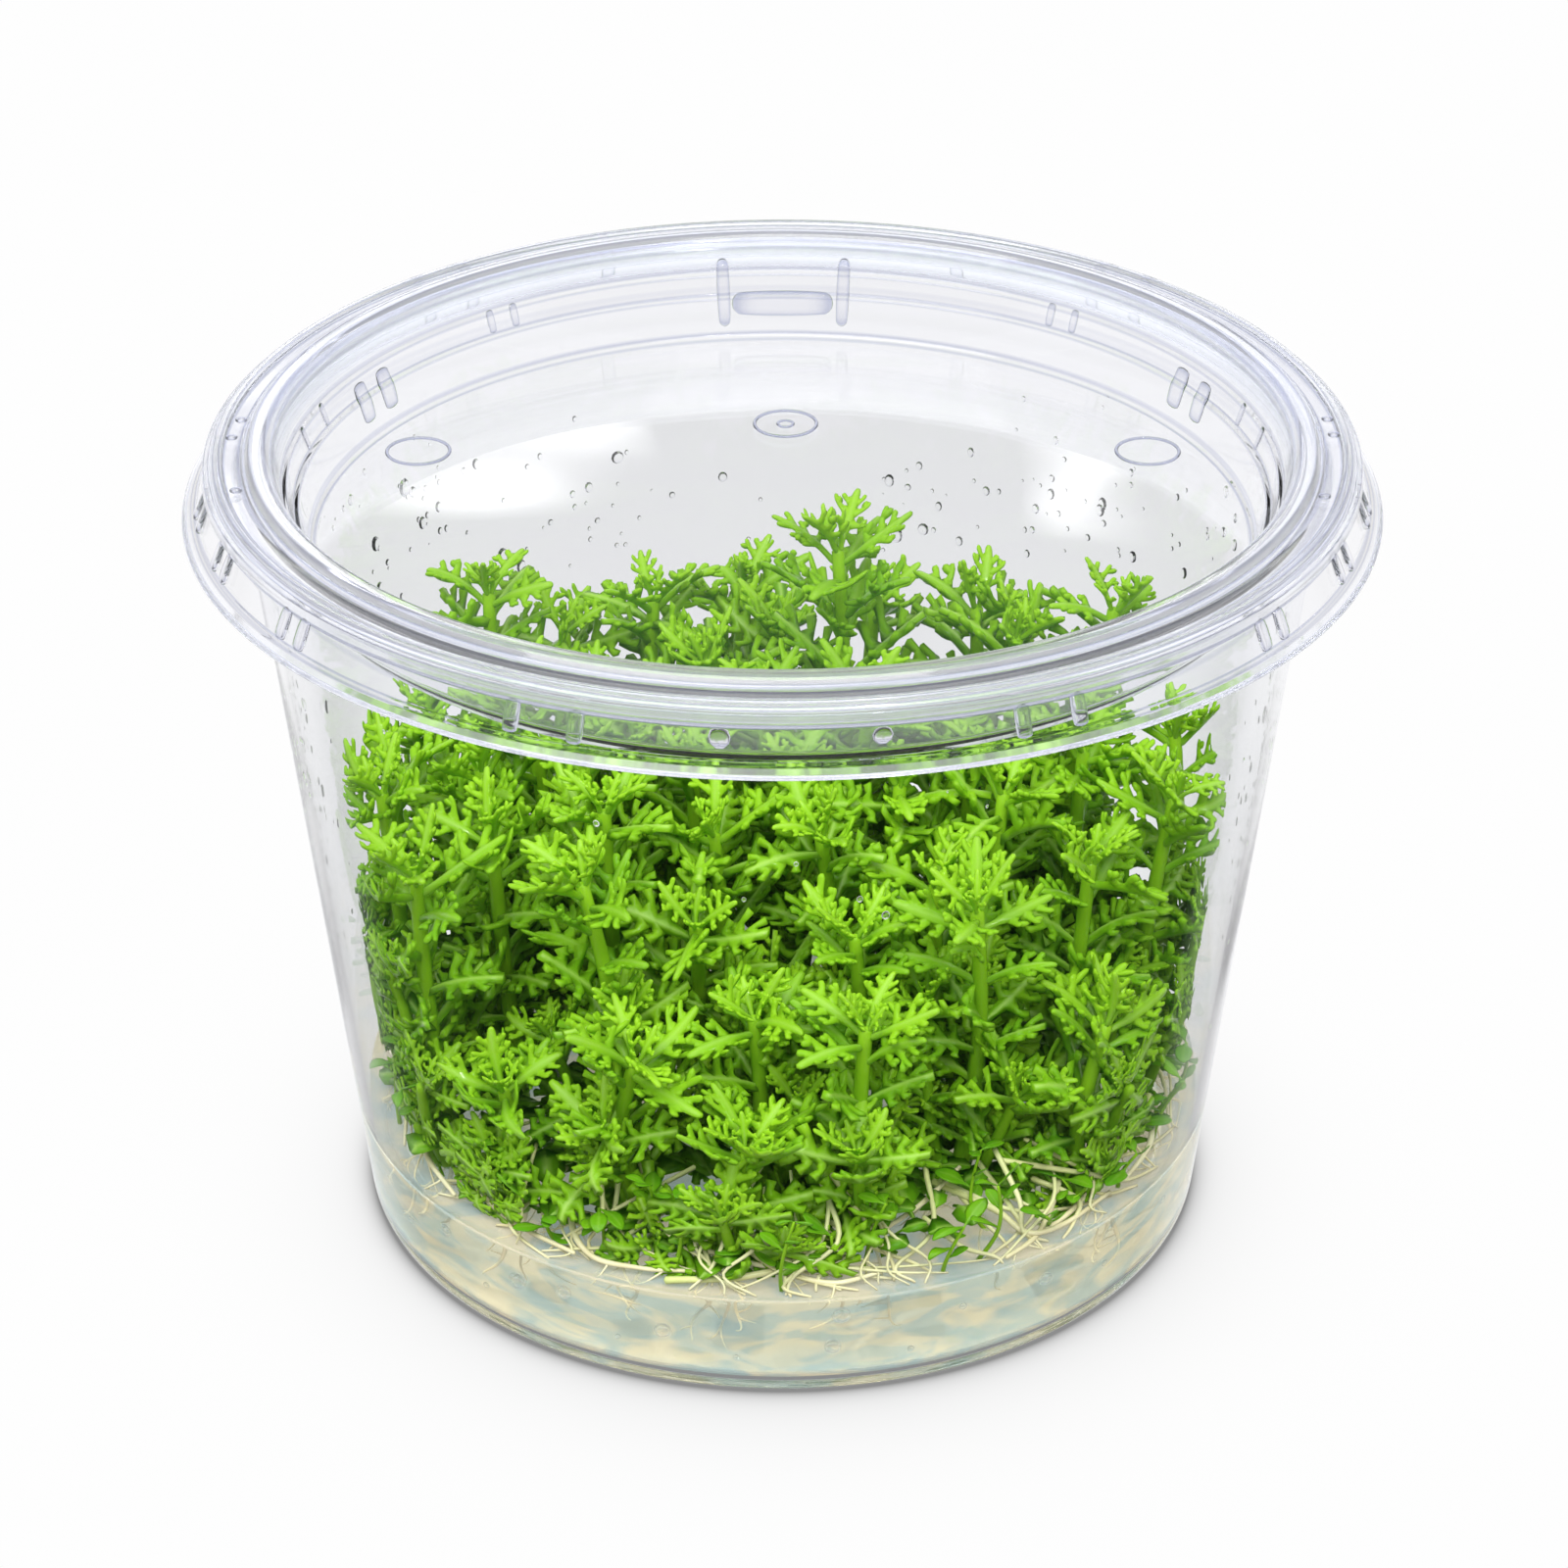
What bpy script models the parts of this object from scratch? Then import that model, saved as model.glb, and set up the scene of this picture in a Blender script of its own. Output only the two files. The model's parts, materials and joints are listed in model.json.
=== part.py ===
"""Water hedge plantlets in a clear culture cup with a push-fit lid.

Run with: blender --background --python part.py
Units are metres, +Z is up, and the origin is the middle of the cup's foot on the table.
"""
import bpy
import math
import random
from mathutils import Vector

MM = 0.001

# Cup
FOOT_RADIUS = 40.75 * MM
WALL_SLOPE = 0.1136
WALL_THICKNESS = 0.9 * MM
FLOOR_THICKNESS = 1.3 * MM
FOOT_RECESS = 0.5 * MM
FOOT_RING_WIDTH = 3.0 * MM
FOOT_CHAMFER = 0.5 * MM
NECK_HEIGHT = 72.0 * MM
CUP_HEIGHT = 77.0 * MM
CUP_FLANGE_RADIUS = 51.6 * MM
FLANGE_THICKNESS = 1.4 * MM
NECK_FLARE = 0.3 * MM
FLANGE_COVE = 0.5 * MM

# Lid
LID_RADIUS = 55.0 * MM
LID_HEIGHT = 78.6 * MM
SKIRT_BOTTOM = 72.2 * MM
SKIRT_LINE_RADIUS = 53.9 * MM
SKIRT_LINE_HEIGHT = 73.6 * MM
BEAD_RADIUS = 52.9 * MM
BEAD_BOTTOM = 76.0 * MM
BEAD_TOP = 77.2 * MM
RIM_EDGE_RADIUS = 51.8 * MM
RIM_HEIGHT = 78.1 * MM
RIDGE_OUTER_RADIUS = 49.3 * MM
RIDGE_INNER_RADIUS = 46.8 * MM
STEP_RADIUS = 45.5 * MM
STEP_HEIGHT = 75.0 * MM
LEDGE_RADIUS = 44.4 * MM
LEDGE_HEIGHT = 73.0 * MM
PANEL_RADIUS = 43.8 * MM
PANEL_HEIGHT = 68.7 * MM
LID_THICKNESS = 0.85 * MM
RIDGE_ROUNDING = 0.5 * MM
RIM_FALL = 0.2 * MM
RIM_UNDERSIDE = 77.3 * MM
SKIRT_LIP = 0.4 * MM

# Gel
GEL_TOP = 10.0 * MM

# Gap between pieces that touch
GAP = 0.3 * MM

# Plantlets
STEM_RADIUS = 1.1 * MM
STEM_FOOT = GEL_TOP + 0.45 * MM
CROWN_RADIUS = 4.9 * MM
LEAFY_RADIUS = 3.2 * MM
CROWN_SHOULDER = 4.0 * MM
CROWN_DEPTH = 9.5 * MM
LEAFY_START = 13.5 * MM
PLANT_COUNT = 48
PLANT_SPACING = 11.6 * MM
PUSH_SHARE = 0.3
CANDIDATE_SHARE = 1.25
ROW_DEPTH = 8.0 * MM
WALL_CLEARANCE = 0.55 * MM
FOOT_TO_TIP_RADIUS = 0.91
CANOPY_HEIGHT = 47.0 * MM
CANOPY_VARIATION = 3.5 * MM
FRONT_FALL_START = -12.0 * MM
FRONT_FALL_SLOPE = 0.62
SPREAD_STEPS = 400
SEED = 11

# Leading shoots seen one by one from the front: x, y and height of the tip in millimetres
LEADERS_MM = (
    (5.5, 20.0, 61.0),
    (-29.4, 24.5, 53.5),
    (-13.1, 30.0, 50.0),
    (19.8, 30.0, 49.5),
    (33.0, 21.5, 53.0),
    (17.8, -24.0, 46.0),
    (-18.5, -20.5, 47.0),
    (-13.5, -31.0, 34.5),
    (7.6, -32.0, 38.0),
    (-26.2, -25.8, 27.5),
    (-3.3, -36.6, 28.0),
    (30.5, -22.5, 33.0),
    (3.6, -10.0, 46.0),
    (-38.2, -5.0, 47.5),
    (37.4, -5.5, 47.5),
)

# Runners
RUNNER_RADIUS = 0.5 * MM
RUNNER_BOW = 0.16
RUNNER_POINTS = 8
RUNNER_COUNT = 6
RUNNER_CLEARANCE = 0.75 * MM
OUTER_ROW = 0.8

ROUND_STEPS = 60
PLANT_STEPS = 8
SMOOTH_ANGLE = math.radians(35.0)
MERGE = 0.00005


def clear_scene():
    """Remove every object of the scene that Blender starts with."""
    for old in list(bpy.data.objects):
        bpy.data.objects.remove(old, do_unlink=True)


def make_collection(name):
    """Add a collection to the scene."""
    collection = bpy.data.collections.new(name)
    bpy.context.scene.collection.children.link(collection)
    return collection


def make_material(name, colour, roughness, transmission=0.0, ior=1.5):
    """A Principled material with the colour and finish of one kind of piece."""
    material = bpy.data.materials.new(name)
    material.use_nodes = True
    shader = material.node_tree.nodes["Principled BSDF"]
    shader.inputs["Base Color"].default_value = (*colour, 1.0)
    shader.inputs["Roughness"].default_value = roughness
    shader.inputs["Metallic"].default_value = 0.0
    shader.inputs["Transmission Weight"].default_value = transmission
    shader.inputs["IOR"].default_value = ior
    material.diffuse_color = (*colour, 1.0)
    return material


def wall_radius(height):
    """Outer radius of the cup's tapered wall at a height."""
    return FOOT_RADIUS + WALL_SLOPE * height


def turned(name, outline, steps, material, collection):
    """A solid turned about Z from an outline of (radius, height), top to bottom on its outer side."""
    mesh = bpy.data.meshes.new(name)
    points = [(radius, 0.0, height) for radius, height in outline]
    edges = [(i, i + 1) for i in range(len(points) - 1)]
    mesh.from_pydata(points, edges, [])
    turned_object = bpy.data.objects.new(name, mesh)
    collection.objects.link(turned_object)
    screw = turned_object.modifiers.new("Turn", "SCREW")
    screw.axis = "Z"
    screw.angle = math.tau
    screw.steps = steps
    screw.render_steps = steps
    screw.use_merge_vertices = True
    screw.merge_threshold = MERGE
    screw.use_smooth_shade = True
    mesh.materials.append(material)
    return turned_object


def rounded(points):
    """Drop the last digits that a 32-bit mesh can't hold."""
    return [(round(radius, 7), round(height, 7)) for radius, height in points]


def build_cup(collection):
    """The tub: recessed foot, tapered wall and a flange that the lid clips over."""
    material = make_material("clear_cup", (0.93, 0.95, 0.97), 0.05, 1.0, 1.49)
    neck_outer = wall_radius(NECK_HEIGHT)
    neck_inner = neck_outer - WALL_THICKNESS
    ring_inner = FOOT_RADIUS - FOOT_RING_WIDTH
    flange_under = CUP_HEIGHT - FLANGE_THICKNESS
    outline = [
        (0.0, FLOOR_THICKNESS),
        (wall_radius(FLOOR_THICKNESS) - WALL_THICKNESS, FLOOR_THICKNESS),
        (neck_inner, NECK_HEIGHT),
        (neck_inner + NECK_FLARE, CUP_HEIGHT),
        (CUP_FLANGE_RADIUS - FOOT_CHAMFER, CUP_HEIGHT),
        (CUP_FLANGE_RADIUS, CUP_HEIGHT - FOOT_CHAMFER),
        (CUP_FLANGE_RADIUS, flange_under),
        (neck_outer + FLANGE_COVE, flange_under - FLANGE_COVE),
        (neck_outer, NECK_HEIGHT),
        (wall_radius(FOOT_CHAMFER), FOOT_CHAMFER),
        (FOOT_RADIUS - FOOT_CHAMFER, 0.0),
        (ring_inner, 0.0),
        (ring_inner - FOOT_RECESS, FOOT_RECESS),
        (0.0, FOOT_RECESS),
    ]
    return turned("cup", rounded(outline), ROUND_STEPS, material, collection)


def build_lid(collection):
    """The lid: sunk panel, stepped inner wall, ridge, rim, bead and flared skirt."""
    material = make_material("clear_lid", (0.92, 0.93, 0.98), 0.05, 1.0, 1.49)
    wall = LID_THICKNESS
    outline = [
        (0.0, PANEL_HEIGHT),
        (PANEL_RADIUS, PANEL_HEIGHT),
        (LEDGE_RADIUS, LEDGE_HEIGHT),
        (STEP_RADIUS, STEP_HEIGHT),
        (RIDGE_INNER_RADIUS, LID_HEIGHT - RIDGE_ROUNDING),
        (RIDGE_INNER_RADIUS + RIDGE_ROUNDING, LID_HEIGHT),
        (RIDGE_OUTER_RADIUS - RIDGE_ROUNDING, LID_HEIGHT),
        (RIDGE_OUTER_RADIUS, RIM_HEIGHT),
        (RIM_EDGE_RADIUS, RIM_HEIGHT - RIM_FALL),
        (BEAD_RADIUS, BEAD_TOP),
        (BEAD_RADIUS, BEAD_BOTTOM),
        (SKIRT_LINE_RADIUS, SKIRT_LINE_HEIGHT),
        (LID_RADIUS, SKIRT_BOTTOM + SKIRT_LIP),
        (LID_RADIUS, SKIRT_BOTTOM),
        (LID_RADIUS - wall, SKIRT_BOTTOM),
        (SKIRT_LINE_RADIUS - wall, SKIRT_LINE_HEIGHT - RIM_FALL),
        (BEAD_RADIUS - wall, BEAD_BOTTOM),
        (BEAD_RADIUS - wall, RIM_UNDERSIDE - GAP),
        (RIM_EDGE_RADIUS - GAP, RIM_UNDERSIDE),
        (RIDGE_INNER_RADIUS + wall, RIM_UNDERSIDE),
        (STEP_RADIUS + wall, STEP_HEIGHT),
        (LEDGE_RADIUS + wall, LEDGE_HEIGHT),
        (PANEL_RADIUS + RIDGE_ROUNDING, PANEL_HEIGHT - wall),
        (0.0, PANEL_HEIGHT - wall),
    ]
    return turned("lid", rounded(outline), ROUND_STEPS, material, collection)


def build_gel(collection):
    """The disc of agar, clear of the cup's floor and wall by the gap."""
    material = make_material("gel", (0.84, 0.88, 0.80), 0.1, 0.9, 1.34)
    base = FLOOR_THICKNESS + GAP
    outline = [
        (0.0, GEL_TOP),
        (wall_radius(GEL_TOP) - WALL_THICKNESS - GAP, GEL_TOP),
        (wall_radius(base) - WALL_THICKNESS - GAP, base),
        (0.0, base),
    ]
    return turned("gel", rounded(outline), ROUND_STEPS, material, collection)


def canopy_height(x, y, variation):
    """Height of a plantlet's tip: level over the cup, falling towards its front wall."""
    fall = max(0.0, FRONT_FALL_START - y) * FRONT_FALL_SLOPE
    return CANOPY_HEIGHT - fall + variation


def tip_limit(top):
    """How far from the axis a tip of this height may stand with its crown clear of the cup's wall."""
    return wall_radius(top - CROWN_SHOULDER) - WALL_THICKNESS - CROWN_RADIUS - WALL_CLEARANCE


def kept_inside(place, top):
    """The place, pulled in towards the axis until its crown clears the wall."""
    limit = tip_limit(top)
    return place.normalized() * limit if place.length > limit else place


def planting_plan():
    """Places for the plantlets' tips: the leaders, then a sunflower pattern pushed evenly apart."""
    source = random.Random(SEED)
    fixed = [kept_inside(Vector((x, y)) * MM, top * MM) for x, y, top in LEADERS_MM]
    outer = tip_limit(CANOPY_HEIGHT)
    golden = math.pi * (3.0 - math.sqrt(5.0))
    candidates = []
    for index in range(PLANT_COUNT * 2):
        radius = outer * math.sqrt((index + 0.5) / (PLANT_COUNT * CANDIDATE_SHARE))
        if radius <= outer:
            turn = index * golden
            candidates.append(Vector((radius * math.cos(turn), radius * math.sin(turn))))
    candidates.sort(key=lambda place: -min((place - other).length for other in fixed))
    free = candidates[:PLANT_COUNT - len(fixed)]
    for _ in range(SPREAD_STEPS):
        moved = []
        for index, place in enumerate(free):
            push = Vector((0.0, 0.0))
            for other in fixed + free[:index] + free[index + 1:]:
                away = place - other
                overlap = PLANT_SPACING - away.length
                if overlap > 0.0:
                    push += away.normalized() * overlap * PUSH_SHARE
            place = place + push
            lowest = canopy_height(place.x, place.y, -CANOPY_VARIATION)
            moved.append(kept_inside(place, lowest))
        free = moved
    plan = [(place.x, place.y, leader[2] * MM) for place, leader in zip(fixed, LEADERS_MM)]
    for place in free:
        variation = source.uniform(-CANOPY_VARIATION, CANOPY_VARIATION)
        plan.append((place.x, place.y, canopy_height(place.x, place.y, variation)))
    plan.sort(key=lambda entry: (round(entry[1] / ROW_DEPTH), entry[0]))
    return plan


def build_plantlet(name, tip, material, collection):
    """One plantlet: a bare stem foot, a leafy length and a crown, leaning as the cup's wall does."""
    foot = Vector((tip[0] * FOOT_TO_TIP_RADIUS, tip[1] * FOOT_TO_TIP_RADIUS, STEM_FOOT))
    axis = Vector(tip) - foot
    length = axis.length
    outline = [
        (0.0, length),
        (CROWN_RADIUS, length - CROWN_SHOULDER),
        (LEAFY_RADIUS, length - CROWN_DEPTH),
        (STEM_RADIUS, LEAFY_START - STEM_FOOT),
        (STEM_RADIUS, 0.0),
        (0.0, 0.0),
    ]
    plantlet = turned(name, rounded(outline), PLANT_STEPS, material, collection)
    plantlet.location = foot
    plantlet.rotation_mode = "QUATERNION"
    plantlet.rotation_quaternion = Vector((0.0, 0.0, 1.0)).rotation_difference(axis)
    return plantlet


def outer_pairs(feet):
    """Neighbours in the outermost row of plantlets, two and two round the cup, frontmost pairs first."""
    reach = max(foot.length for foot in feet)
    row = [foot for foot in feet if foot.length > OUTER_ROW * reach]
    row.sort(key=lambda foot: math.atan2(foot.x, -foot.y))
    pairs = list(zip(row[::2], row[1::2]))
    return sorted(pairs, key=lambda pair: pair[0].y + pair[1].y)


def build_runner(name, first, second, material, collection):
    """A creeping stem that lies on the gel in a shallow bow from one plantlet's foot to the next."""
    along = second - first
    clear = (STEM_RADIUS + RUNNER_CLEARANCE) / along.length
    sideways = (first + second).normalized()
    curve = bpy.data.curves.new(name, "CURVE")
    curve.dimensions = "3D"
    curve.bevel_depth = RUNNER_RADIUS
    curve.bevel_resolution = 2
    curve.use_fill_caps = True
    spline = curve.splines.new("POLY")
    spline.points.add(RUNNER_POINTS - 1)
    height = GEL_TOP + GAP + RUNNER_RADIUS
    for index in range(RUNNER_POINTS):
        t = clear + (1.0 - 2.0 * clear) * index / (RUNNER_POINTS - 1)
        bow = 4.0 * RUNNER_BOW * t * (1.0 - t) * along.length
        place = first + along * t + sideways * bow
        spline.points[index].co = (place.x, place.y, height, 1.0)
    runner = bpy.data.objects.new(name, curve)
    curve.materials.append(material)
    collection.objects.link(runner)
    return runner


def smooth(piece):
    """Shade a turned piece smooth, with its real edges kept sharp."""
    piece.data.shade_smooth()
    piece.data.set_sharp_from_angle(angle=SMOOTH_ANGLE)


def main():
    clear_scene()
    collection = make_collection("water_hedge")
    for piece in (build_cup(collection), build_lid(collection), build_gel(collection)):
        smooth(piece)

    leaf_green = make_material("plantlet_green", (0.22, 0.50, 0.02), 0.35)
    plan = planting_plan()
    for index, tip in enumerate(plan):
        build_plantlet(f"plantlet_{index + 1:02d}", tip, leaf_green, collection)

    runner_cream = make_material("runner_cream", (0.60, 0.62, 0.25), 0.4)
    feet = [Vector((tip[0], tip[1])) * FOOT_TO_TIP_RADIUS for tip in plan]
    for index, (first, second) in enumerate(outer_pairs(feet)[:RUNNER_COUNT]):
        build_runner(f"runner_{index + 1}", first, second, runner_cream, collection)


main()
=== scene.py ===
import json
import math

import bpy
import numpy as np
from bpy.props import FloatProperty, FloatVectorProperty, IntProperty, PointerProperty
from bpy.types import Operator, Panel, PropertyGroup
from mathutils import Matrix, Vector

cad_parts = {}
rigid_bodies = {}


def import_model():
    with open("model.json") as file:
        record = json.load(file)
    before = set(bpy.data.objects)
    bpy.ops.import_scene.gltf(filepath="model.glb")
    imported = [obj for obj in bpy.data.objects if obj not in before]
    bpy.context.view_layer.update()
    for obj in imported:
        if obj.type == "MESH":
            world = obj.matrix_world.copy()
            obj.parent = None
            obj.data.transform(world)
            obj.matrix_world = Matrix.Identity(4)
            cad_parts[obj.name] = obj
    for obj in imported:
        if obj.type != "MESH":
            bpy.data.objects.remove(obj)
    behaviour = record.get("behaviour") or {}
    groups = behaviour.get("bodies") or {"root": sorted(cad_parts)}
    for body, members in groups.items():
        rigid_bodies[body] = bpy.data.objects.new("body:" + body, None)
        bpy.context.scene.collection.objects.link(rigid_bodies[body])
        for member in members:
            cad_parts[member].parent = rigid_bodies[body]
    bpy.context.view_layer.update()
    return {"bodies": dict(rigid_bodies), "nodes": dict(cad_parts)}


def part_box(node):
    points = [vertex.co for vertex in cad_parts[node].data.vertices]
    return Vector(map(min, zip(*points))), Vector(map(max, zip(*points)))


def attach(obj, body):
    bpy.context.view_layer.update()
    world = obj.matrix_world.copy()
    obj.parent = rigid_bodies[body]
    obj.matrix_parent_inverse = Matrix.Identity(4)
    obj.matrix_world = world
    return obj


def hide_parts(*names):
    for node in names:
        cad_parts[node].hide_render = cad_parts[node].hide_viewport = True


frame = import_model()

bl_info = {
    "name": "Culture Cup Plantlets",
    "version": (1, 0, 0),
    "blender": (4, 5, 0),
    "location": "View3D > Sidebar > Culture Cup",
    "description": "Fine surfaces and finishes for a lidded culture cup of water plantlets",
    "category": "Object",
}

MM = 0.001
BODY = next(iter(frame["bodies"]))
CUP_LOW, CUP_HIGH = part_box("cup")
LID_LOW, LID_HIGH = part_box("lid")
GEL_LOW, GEL_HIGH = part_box("gel")
PLANTLETS = sorted(name for name in frame["nodes"] if name.startswith("plantlet_"))
RUNNERS = sorted(name for name in frame["nodes"] if name.startswith("runner_"))

FOOT_RADIUS = 40.75 * MM
WALL_SLOPE = 0.1136
WALL = 0.9 * MM
FLOOR = 1.3 * MM


# Mesh helpers

def new_piece(name, points, corners, sizes, material, attributes=None, second=None):
    """A mesh piece from whole arrays: points (n, 3), face corners one after another, and face sizes.

    second holds another material and, for every face, whether it wears that one.
    """
    mesh = bpy.data.meshes.new(name)
    points = np.asarray(points, np.float32)
    corners = np.asarray(corners, np.int32).ravel()
    sizes = np.asarray(sizes, np.int32)
    mesh.vertices.add(len(points))
    mesh.vertices.foreach_set("co", points.ravel())
    mesh.loops.add(len(corners))
    mesh.loops.foreach_set("vertex_index", corners)
    mesh.polygons.add(len(sizes))
    mesh.polygons.foreach_set("loop_start", np.cumsum(sizes) - sizes)
    mesh.update(calc_edges=True)
    for key, values in (attributes or {}).items():
        layer = mesh.attributes.new(key, "FLOAT", "POINT")
        layer.data.foreach_set("value", np.asarray(values, np.float32))
    mesh.shade_smooth()
    mesh.materials.append(material)
    if second:
        mesh.materials.append(second[0])
        mesh.polygons.foreach_set("material_index", np.asarray(second[1], np.int32))
    piece = bpy.data.objects.new(name, mesh)
    bpy.context.scene.collection.objects.link(piece)
    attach(piece, BODY)
    return piece


class Shapes:
    """Collects several closed shapes, each as whole arrays, into one mesh."""

    def __init__(self):
        self.points, self.corners, self.sizes, self.attributes = [], [], [], {}
        self.count = 0

    def add(self, points, corners, sizes, **attributes):
        """Add one shape, or a stack of like shapes (k, n, 3) that share their faces."""
        points = np.asarray(points, float)
        stack = points if points.ndim == 3 else points[None]
        copies, each = stack.shape[:2]
        corners = np.asarray(corners).ravel()
        shift = self.count + each * np.arange(copies)[:, None]
        self.points.append(stack.reshape(-1, 3))
        self.corners.append((corners[None] + shift).ravel())
        self.sizes.append(np.tile(sizes, copies))
        for key, values in attributes.items():
            values = np.broadcast_to(np.asarray(values, float), (copies, each))
            self.attributes.setdefault(key, []).append(values.ravel())
        self.count += copies * each

    def piece(self, name, material, second=None):
        """The mesh piece that holds every shape added."""
        attributes = {key: np.concatenate(values) for key, values in self.attributes.items()}
        return new_piece(name, np.concatenate(self.points), np.concatenate(self.corners),
                         np.concatenate(self.sizes), material, attributes, second)


def rounded_outline(corners, steps=5, support=0.12 * MM):
    """Outline through corners of (radius, height, rounding) in millimetres, as radius, height and edge.

    Each rounded corner is a parabola from one rounding before the corner to one rounding after it, and
    every straight stretch gets a point close to each of its ends, so that its shading stays flat. Edge is
    one in the middle of a rounded corner and nought where the outline is straight.
    """
    places = np.array([corner[:2] for corner in corners]) * MM
    rounding = np.array([corner[2] for corner in corners]) * MM
    t = np.linspace(0.0, 1.0, steps + 1)[:, None]
    bow = 4 * t * (1 - t)
    parts = [np.append(places[:1], [[0.0]], 1)]
    for i in range(1, len(places) - 1):
        back, ahead = places[i - 1] - places[i], places[i + 1] - places[i]
        far_back, far_ahead = np.linalg.norm(back), np.linalg.norm(ahead)
        start = places[i] + back / far_back * min(rounding[i], 0.42 * far_back)
        end = places[i] + ahead / far_ahead * min(rounding[i], 0.42 * far_ahead)
        curve = np.append((1 - t) ** 2 * start + 2 * t * (1 - t) * places[i] + t ** 2 * end, bow, 1)
        if far_back > 8 * support:
            curve = np.concatenate([[[*(start + back / far_back * support), 0.0]], curve])
        if far_ahead > 8 * support:
            curve = np.concatenate([curve, [[*(end + ahead / far_ahead * support), 0.0]]])
        parts.append(curve)
    parts.append(np.append(places[-1:], [[0.0]], 1))
    return np.concatenate(parts)


def turned(outline, segments):
    """Surface of revolution: (radius cos a, radius sin a, height) over the angle and along the outline.

    The outline starts and ends on the axis and runs down its outer side; both ends close in a pole.
    """
    angle = np.arange(segments) * math.tau / segments
    inner = outline[1:-1]
    rings = np.stack([inner[:, :1] * np.cos(angle), inner[:, :1] * np.sin(angle),
                      np.repeat(inner[:, 1:2], segments, 1)], -1).reshape(-1, 3)
    points = np.concatenate([[[0, 0, outline[0, 1]]], rings, [[0, 0, outline[-1, 1]]]])
    index = 1 + np.arange(len(inner) * segments).reshape(len(inner), segments)
    after = np.roll(index, -1, 1)
    quads = np.stack([index[:-1], index[1:], after[1:], after[:-1]], -1).reshape(-1)
    top = np.stack([np.zeros(segments, int), index[0], after[0]], -1).reshape(-1)
    last = np.full(segments, len(points) - 1)
    bottom = np.stack([index[-1], last, after[-1]], -1).reshape(-1)
    sizes = np.concatenate([np.full(segments, 3), np.full(segments * (len(inner) - 1), 4),
                            np.full(segments, 3)])
    return points, np.concatenate([top, quads, bottom]), sizes


def tube_faces(rings, sides):
    """Face corners and sizes of a closed tube: quads between rings, and a fan to a point at each end."""
    index = np.arange(rings * sides).reshape(rings, sides)
    after = np.roll(index, -1, 1)
    quads = np.stack([index[:-1], after[:-1], after[1:], index[1:]], -1).reshape(-1)
    start = np.full(sides, rings * sides)
    end = np.full(sides, rings * sides + 1)
    first = np.stack([start, after[0], index[0]], -1).reshape(-1)
    last = np.stack([end, index[-1], after[-1]], -1).reshape(-1)
    sizes = np.concatenate([np.full(sides * (rings - 1), 4), np.full(2 * sides, 3)])
    return np.concatenate([quads, first, last]), sizes


def tubes(paths, radii, sides):
    """Tubes along paths (k, n, 3) with radii (k, n): each ring is a circle square to the path.

    The ring's first direction is a fixed side direction made square to the path's own direction.
    """
    ahead = np.gradient(paths, axis=1)
    ahead /= np.linalg.norm(ahead, axis=-1, keepdims=True) + 1e-12
    lengthwise = paths[:, -1] - paths[:, 0]
    upright = np.abs(lengthwise[:, 2:3]) > 0.8 * np.linalg.norm(lengthwise, axis=-1, keepdims=True)
    guide = np.where(upright, [[1.0, 0.0, 0.0]], [[0.0, 0.0, 1.0]])[:, None, :]
    side = guide - (guide * ahead).sum(-1, keepdims=True) * ahead
    side /= np.linalg.norm(side, axis=-1, keepdims=True) + 1e-12
    other = np.cross(ahead, side)
    angle = np.arange(sides) * math.tau / sides
    ring = (side[:, :, None] * np.cos(angle)[:, None] + other[:, :, None] * np.sin(angle)[:, None])
    rings = paths[:, :, None] + ring * radii[:, :, None, None]
    k, n = paths.shape[:2]
    first = paths[:, :1] - ahead[:, :1] * radii[:, :1, None] * 0.5
    last = paths[:, -1:] + ahead[:, -1:] * radii[:, -1:, None] * 0.7
    return np.concatenate([rings.reshape(k, n * sides, 3), first, last], 1)


def spread_rings(values, sides):
    """Per-ring values (k, n) repeated for every point of the tubes, with the two end points last."""
    values = np.asarray(values, float)
    return np.concatenate([np.repeat(values, sides, 1), values[:, :1], values[:, -1:]], 1)


# Where the walls are

def wall_inside(height):
    """Inner radius of the cup's wall at a height."""
    return FOOT_RADIUS + WALL_SLOPE * height - WALL


def kept_in_cup(points, clearance=2.2 * MM, soft=3.0 * MM):
    """Points pressed in where they would pass the wall or the gel.

    Within the soft margin of the wall a radius r becomes limit - soft + soft tanh((r - limit + soft) / soft),
    which never reaches the limit; heights over the gel are eased in the same way.
    """
    points = np.array(points)
    radius = np.hypot(points[..., 0], points[..., 1])
    limit = wall_inside(points[..., 2]) - clearance
    start = limit - soft
    pressed = np.where(radius > start, start + soft * np.tanh((radius - start) / soft), radius)
    points[..., :2] *= (pressed / np.maximum(radius, 1e-9))[..., None]
    return points


def rest_on_gel(points, clearance=0.25 * MM, soft=1.5 * MM):
    """Heights below the soft margin over the gel eased up, so that nothing sinks into it."""
    points = np.array(points)
    floor = GEL_HIGH.z + clearance
    over = points[..., 2] - floor
    points[..., 2] = np.where(over < soft, floor + soft * np.exp(np.minimum(over - soft, 0) / soft), points[..., 2])
    return points


# Node helpers

def link(tree, source, target):
    """Join one output socket to one input socket."""
    tree.links.new(source, target)


def principled(name):
    """A new material with its Principled shader, and the tree that holds both."""
    material = bpy.data.materials.new(name)
    material.use_nodes = True
    tree = material.node_tree
    return material, tree, tree.nodes["Principled BSDF"]


def math_node(tree, operation, a, b=None, clamp=False):
    """A Math node; a and b are sockets or numbers."""
    made = tree.nodes.new("ShaderNodeMath")
    made.operation = operation
    made.use_clamp = clamp
    for socket, value in zip(made.inputs, (a, b)):
        if value is None:
            continue
        if isinstance(value, (int, float)):
            socket.default_value = value
        else:
            link(tree, value, socket)
    return made.outputs[0]


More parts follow.
